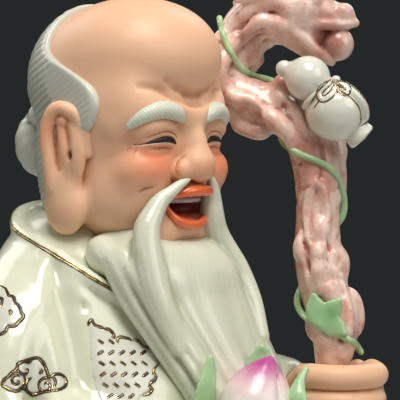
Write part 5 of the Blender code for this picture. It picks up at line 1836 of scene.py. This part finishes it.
def vine_leaf(clay):
    """The vine's broad leaf, with a point on each side."""
    forms = []
    for half in VINE_LEAF:
        blade = near_side(clay, half, 1.2)
        forms.append((leaf(blade, [2.4, 4.8, 4.2, 1.0], 1.4, -AWAY), 0.8))
    return forms


WOOD_MARKS = [
    # how many, pressed on or in, how long, how thick and how softly
    (20, True, 14, 1.5, 3.5), (26, False, 9, 0.6, 1.4), (70, False, 1, 0.55, 0.6),
]


def press_grain(clay):
    """Ridges, cracks and pits that run with the wood, scattered from a fixed seed."""
    dice = np.random.default_rng(7)
    spine, thick = path([crook(*p[:3]) for p in STEM], [p[3] for p in STEM], 8)
    for count, on, reach, size, soft in WOOD_MARKS:
        for _ in range(count):
            i = int(dice.integers(4, len(spine) - 4))
            last = min(i + max(int(reach * dice.uniform(0.6, 1.4)), 1), len(spine) - 2)
            turn, drift = dice.uniform(0, 2 * math.pi), dice.uniform(-0.5, 0.5)
            line = []
            for j in range(i, last + 1):
                run = (spine[j + 1] - spine[j - 1]) / np.linalg.norm(spine[j + 1] - spine[j - 1])
                side = np.cross(run, AWAY)
                side = side / np.linalg.norm(side)
                angle = turn + drift * (j - i) / reach
                out = math.cos(angle) * side + math.sin(angle) * np.cross(run, side)
                line.append(clay.touch(spine[j] + out * (thick[j] + 7), -out))
            press = clay.press_on if on else clay.press_in
            fat = size * dice.uniform(0.6, 1.3)
            for a, b in zip(line, line[1:]):
                press(rod(a, b, fat, fat), soft)


RIBBON_LOOP = [(82.4, 7.4), (78.6, 5.0), (76.6, 1.8), (78.0, -0.4), (80.6, 0.8), (83.0, 3.6), (83.2, 7.0)]
RIBBON_TAIL = [(83.6, 7.4), (87.0, 4.6), (91.4, 1.2), (94.8, -3.4), (95.4, -8.0), (93.2, -11.6)]
RIBBON_OTHER = [(83.4, 6.8), (86.0, 6.4), (88.2, 4.4), (87.6, 2.2), (85.4, 3.2), (83.8, 5.4)]


def make_gourd(ivory):
    """The gourd, with a white ribbon in relief round its waist, outlined in gold."""
    clay = clay_round(gourd(), GOURD_CELL)
    waist = [f for forms, _ in gourd_ribbon() for f in forms]
    clay.press_on(waist, 0.4)
    spine = [seen(clay, places, -0.5) for places in (RIBBON_LOOP, RIBBON_TAIL, RIBBON_OTHER)]
    for points, radii in zip(spine, (0.9, [1.0, 1.4, 2.0, 2.2, 1.8, 0.6], 0.9)):
        clay.press_on(roll(points, radii), 0.3)
    clay.press_on(lump(seen(clay, [(83.4, 7.8)])[0], (2.0, 2.0, 1.8)), 0.4)
    clay_piece("gourd", clay, ivory, "white_glaze", 0.7)
    # The dark lines beside the gold are painted shadow and reflection.
    gold, dark = gilding(), gold_painted_shadow("ribbon_painted_shadow")
    lines = [offset_line(RIBBON_LOOP, 1.2), offset_line(RIBBON_LOOP, -1.2)]
    lines += [offset_line(RIBBON_TAIL, w) for w in (2.0, -2.0)]
    lines += [offset_line(RIBBON_OTHER, w) for w in (1.2, -1.2)]
    lines += [[(72.4, -3.2), (75.2, 1.6), (78.6, 5.6), (81.6, 8.0)], [(74.4, -4.0), (76.8, -0.8)]]
    gold_lines("ribbon", clay, lines, gold, dark, RIBBON_LINE)


def offset_line(places, off):
    """A flat line beside another one."""
    fine, _ = path([(a, u, 0) for a, u in places], 1.0, 4)
    run = np.gradient(fine[:, :2], axis=0)
    run /= np.maximum(np.linalg.norm(run, axis=1), 1e-9)[:, None]
    ends = np.minimum(np.linspace(0, 6, len(fine)), np.linspace(6, 0, len(fine)))
    off = off * np.clip(ends, 0.25, 1)
    return [tuple(p) for p in fine[:, :2] + np.stack([-run[:, 1], run[:, 0]], axis=1) * off[:, None]]


def gold_lines(name, clay, designs, gold, dark, radius, ray=camera_ray, lift=0.0):
    """Raised gold lines on a skin, each with a thin dark line beside it as painted shadow and reflection."""
    bright, edge = [], []
    for places in designs:
        steps = 2 if len(places) > 9 else 6
        fine, _ = path([(a, u, 0) for a, u in places], 1.0, steps)
        points = np.array(seen(clay, [(p[0], p[1]) for p in fine], lift, ray))
        ends = np.minimum(np.linspace(0, 8, len(points)), np.linspace(8, 0, len(points)))
        thick = radius * (0.45 + 0.55 * np.clip(ends, 0, 1))
        inward = np.array([ray(p[0], p[1])[1] for p in fine])
        for run in runs_on_clay(points, ray, fine):
            bright.append(tube(points[run] - GOLD_OUT * radius * inward[run], GOLD_THICK * thick[run]))
            # The dark line under the gold shows beside it as painted shadow and reflection.
            edge.append(tube(points[run] + SHADOW_IN * radius * inward[run], SHADOW_THICK * thick[run]))
    line_piece(name + "_gold", bright, gold, "white_glaze")
    line_piece(name + "_edge", edge, dark, "white_glaze")


def laid_vine(clay, places):
    """The vine on the wood's real skin, touched at many places and evened out."""
    flat, _ = path([(a, u, 0) for a, u, _ in places], 1.0, 5)
    side = np.interp(np.linspace(0, len(places) - 1, len(flat)), range(len(places)), [p[2] for p in places])
    side = np.where(side > 0.35, side, np.minimum(side, 0))
    line = vine_line(clay, [(p[0], p[1], s) for p, s in zip(flat, side)], 0.6)
    line = np.array(line)
    for _ in range(3):
        line[1:-1] = 0.25 * line[:-2] + 0.5 * line[1:-1] + 0.25 * line[2:]
    return list(line)


def make_staff(green):
    """The painted wood with its dragon head, the pearl, the gourd with its ribbon, and the vine."""
    clay = Clay((32, -102, -6), (92, 4, 404), WOOD_CELL)
    clay.press_on(stem(), 0)
    press_knots(clay)
    press_grain(clay)
    vine = clay_round([(roll(laid_vine(clay, places), 1.4, steps=1), 0.5) for places in VINES], VINE_CELL)
    blade = clay_round(vine_leaf(clay), VINE_CELL)
    clay.add(dragon_head())
    shaft = rod(FOOT - 6 * SHAFT, FOOT + SHAFT * (SHAFT_TOP / SHAFT[2]), SHAFT_RADIUS, SHAFT_RADIUS)
    clay.press_on(shaft, 3)
    clay.press_in(flat_cut([0, -99, -40], [110, 99, 9], 2, FOOT_GAP, -1), 0)

    # Darker towards the dragon's mouth: the pearl's own colour and painted shade in the jaws.
    def mouth(points):
        deep = near(points, dragon_point(81, 26, 0), 8.5)
        return np.clip(1.3 * deep, 0, 0.85)

    wood = clay_piece("staff_wood", clay, wood_paint(), "pink_bisque", 1.0, mouth=mouth)
    ivory = glaze("gourd_glaze", (0.76, 0.76, 0.66), (0.52, 0.54, 0.40), 0.16, 0.5, 0.8)
    make_gourd(ivory)
    points, faces = skin_of(vine)
    none = np.zeros(len(points))
    piece("vine", points, faces.tolist(), green, "white_glaze", hollow=none, deep=none)
    middle = near_side(clay, [(81.5, -90.5)])[0]
    clay_piece("vine_leaf", blade, green, "white_glaze", 0.5, deep=lambda p: near(p, middle, 5.0))
    return wood


# The room, the light and the camera.

FLOOR_RADIUS = 0.95
FLOOR_SIDES = 96
FLOOR_DROP = 0.0004
LIGHT_CENTRE = 0.25
LIGHT_AIM = (0, 0, 0.3)


def make_floor():
    """A pale round floor under the statue."""
    turn = 2 * math.pi * np.arange(FLOOR_SIDES) / FLOOR_SIDES
    points = [(FLOOR_RADIUS * math.cos(t), FLOOR_RADIUS * math.sin(t), -FLOOR_DROP) for t in turn]
    mesh = bpy.data.meshes.new("floor")
    mesh.from_pydata(points, [], [list(range(FLOOR_SIDES))])
    floor = bpy.data.objects.new("floor", mesh)
    bpy.context.scene.collection.objects.link(floor)
    material, tree, shader = finish("pale_floor", 0.6)
    paint(tree, shader, blended(tree, marks(tree, 6.0, 0.3, 0.7), (0.62, 0.62, 0.62), (0.66, 0.66, 0.65)))
    mesh.materials.append(material)


def area_light(name, place, aim, size, power, colour):
    data = bpy.data.lights.new(name, "AREA")
    data.shape = "RECTANGLE"
    data.size, data.size_y = size
    data.energy = power
    data.color = colour
    light = bpy.data.objects.new(name, data)
    bpy.context.scene.collection.objects.link(light)
    light.location = place
    light.rotation_euler = (Vector(place) - Vector(aim)).to_track_quat("Z", "Y").to_euler()


def toward(azimuth_deg, elevation_deg, distance):
    """A place at a direction and distance from the middle of the statue."""
    a, e = math.radians(azimuth_deg), math.radians(elevation_deg)
    level = distance * math.cos(e)
    return (level * math.sin(a), -level * math.cos(a), LIGHT_CENTRE + distance * math.sin(e))


LIGHTS = [
    # name, from where in degrees round and up, how far off, width and height, watts, colour
    ("key", -35, 66, 1.3, (0.6, 0.8), 16.5, (1.0, 0.97, 0.93)),
    ("front", 5, 28, 1.5, (0.8, 0.8), 5.6, (1.0, 0.98, 0.96)),
    ("left", -110, 25, 1.5, (0.6, 0.9), 2.6, (1.0, 0.99, 0.97)),
    ("rim", 95, 40, 1.3, (0.4, 0.9), 3, (0.96, 0.98, 1.0)),
    ("back", 180, 40, 1.6, (0.8, 0.8), 5, (1.0, 1.0, 1.0)),
]


def make_light():
    """Soft studio light: a large key high in front, a fill at the right, and weaker ones all round."""
    for name, azimuth, elevation, distance, size, power, colour in LIGHTS:
        area_light(name, toward(azimuth, elevation, distance), LIGHT_AIM, size, power, colour)
    world = bpy.data.worlds.new("room")
    bpy.context.scene.world = world
    world.use_nodes = True
    sky = world.node_tree.nodes["Background"]
    sky.inputs["Color"].default_value = (0.019, 0.0215, 0.0215, 1.0)
    sky.inputs["Strength"].default_value = 1.0


def make_camera():
    data = bpy.data.cameras.new("camera")
    data.lens = CAMERA_LENS
    data.sensor_width = 36.0
    camera = bpy.data.objects.new("camera", data)
    bpy.context.scene.collection.objects.link(camera)
    camera.location = CAMERA_PLACE
    camera.rotation_euler = CAMERA_BACK.to_track_quat("Z", "Y").to_euler()
    bpy.context.scene.camera = camera
    bpy.context.scene.view_settings.view_transform = "Standard"


make_camera()
make_floor()
make_light()
flesh = make_head()
make_mouth()
make_hair()
make_beard()
robe_piece = make_robe()
make_hands(flesh)
green = make_peach()
wood = make_staff(green)
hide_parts("figure")
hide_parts("staff")
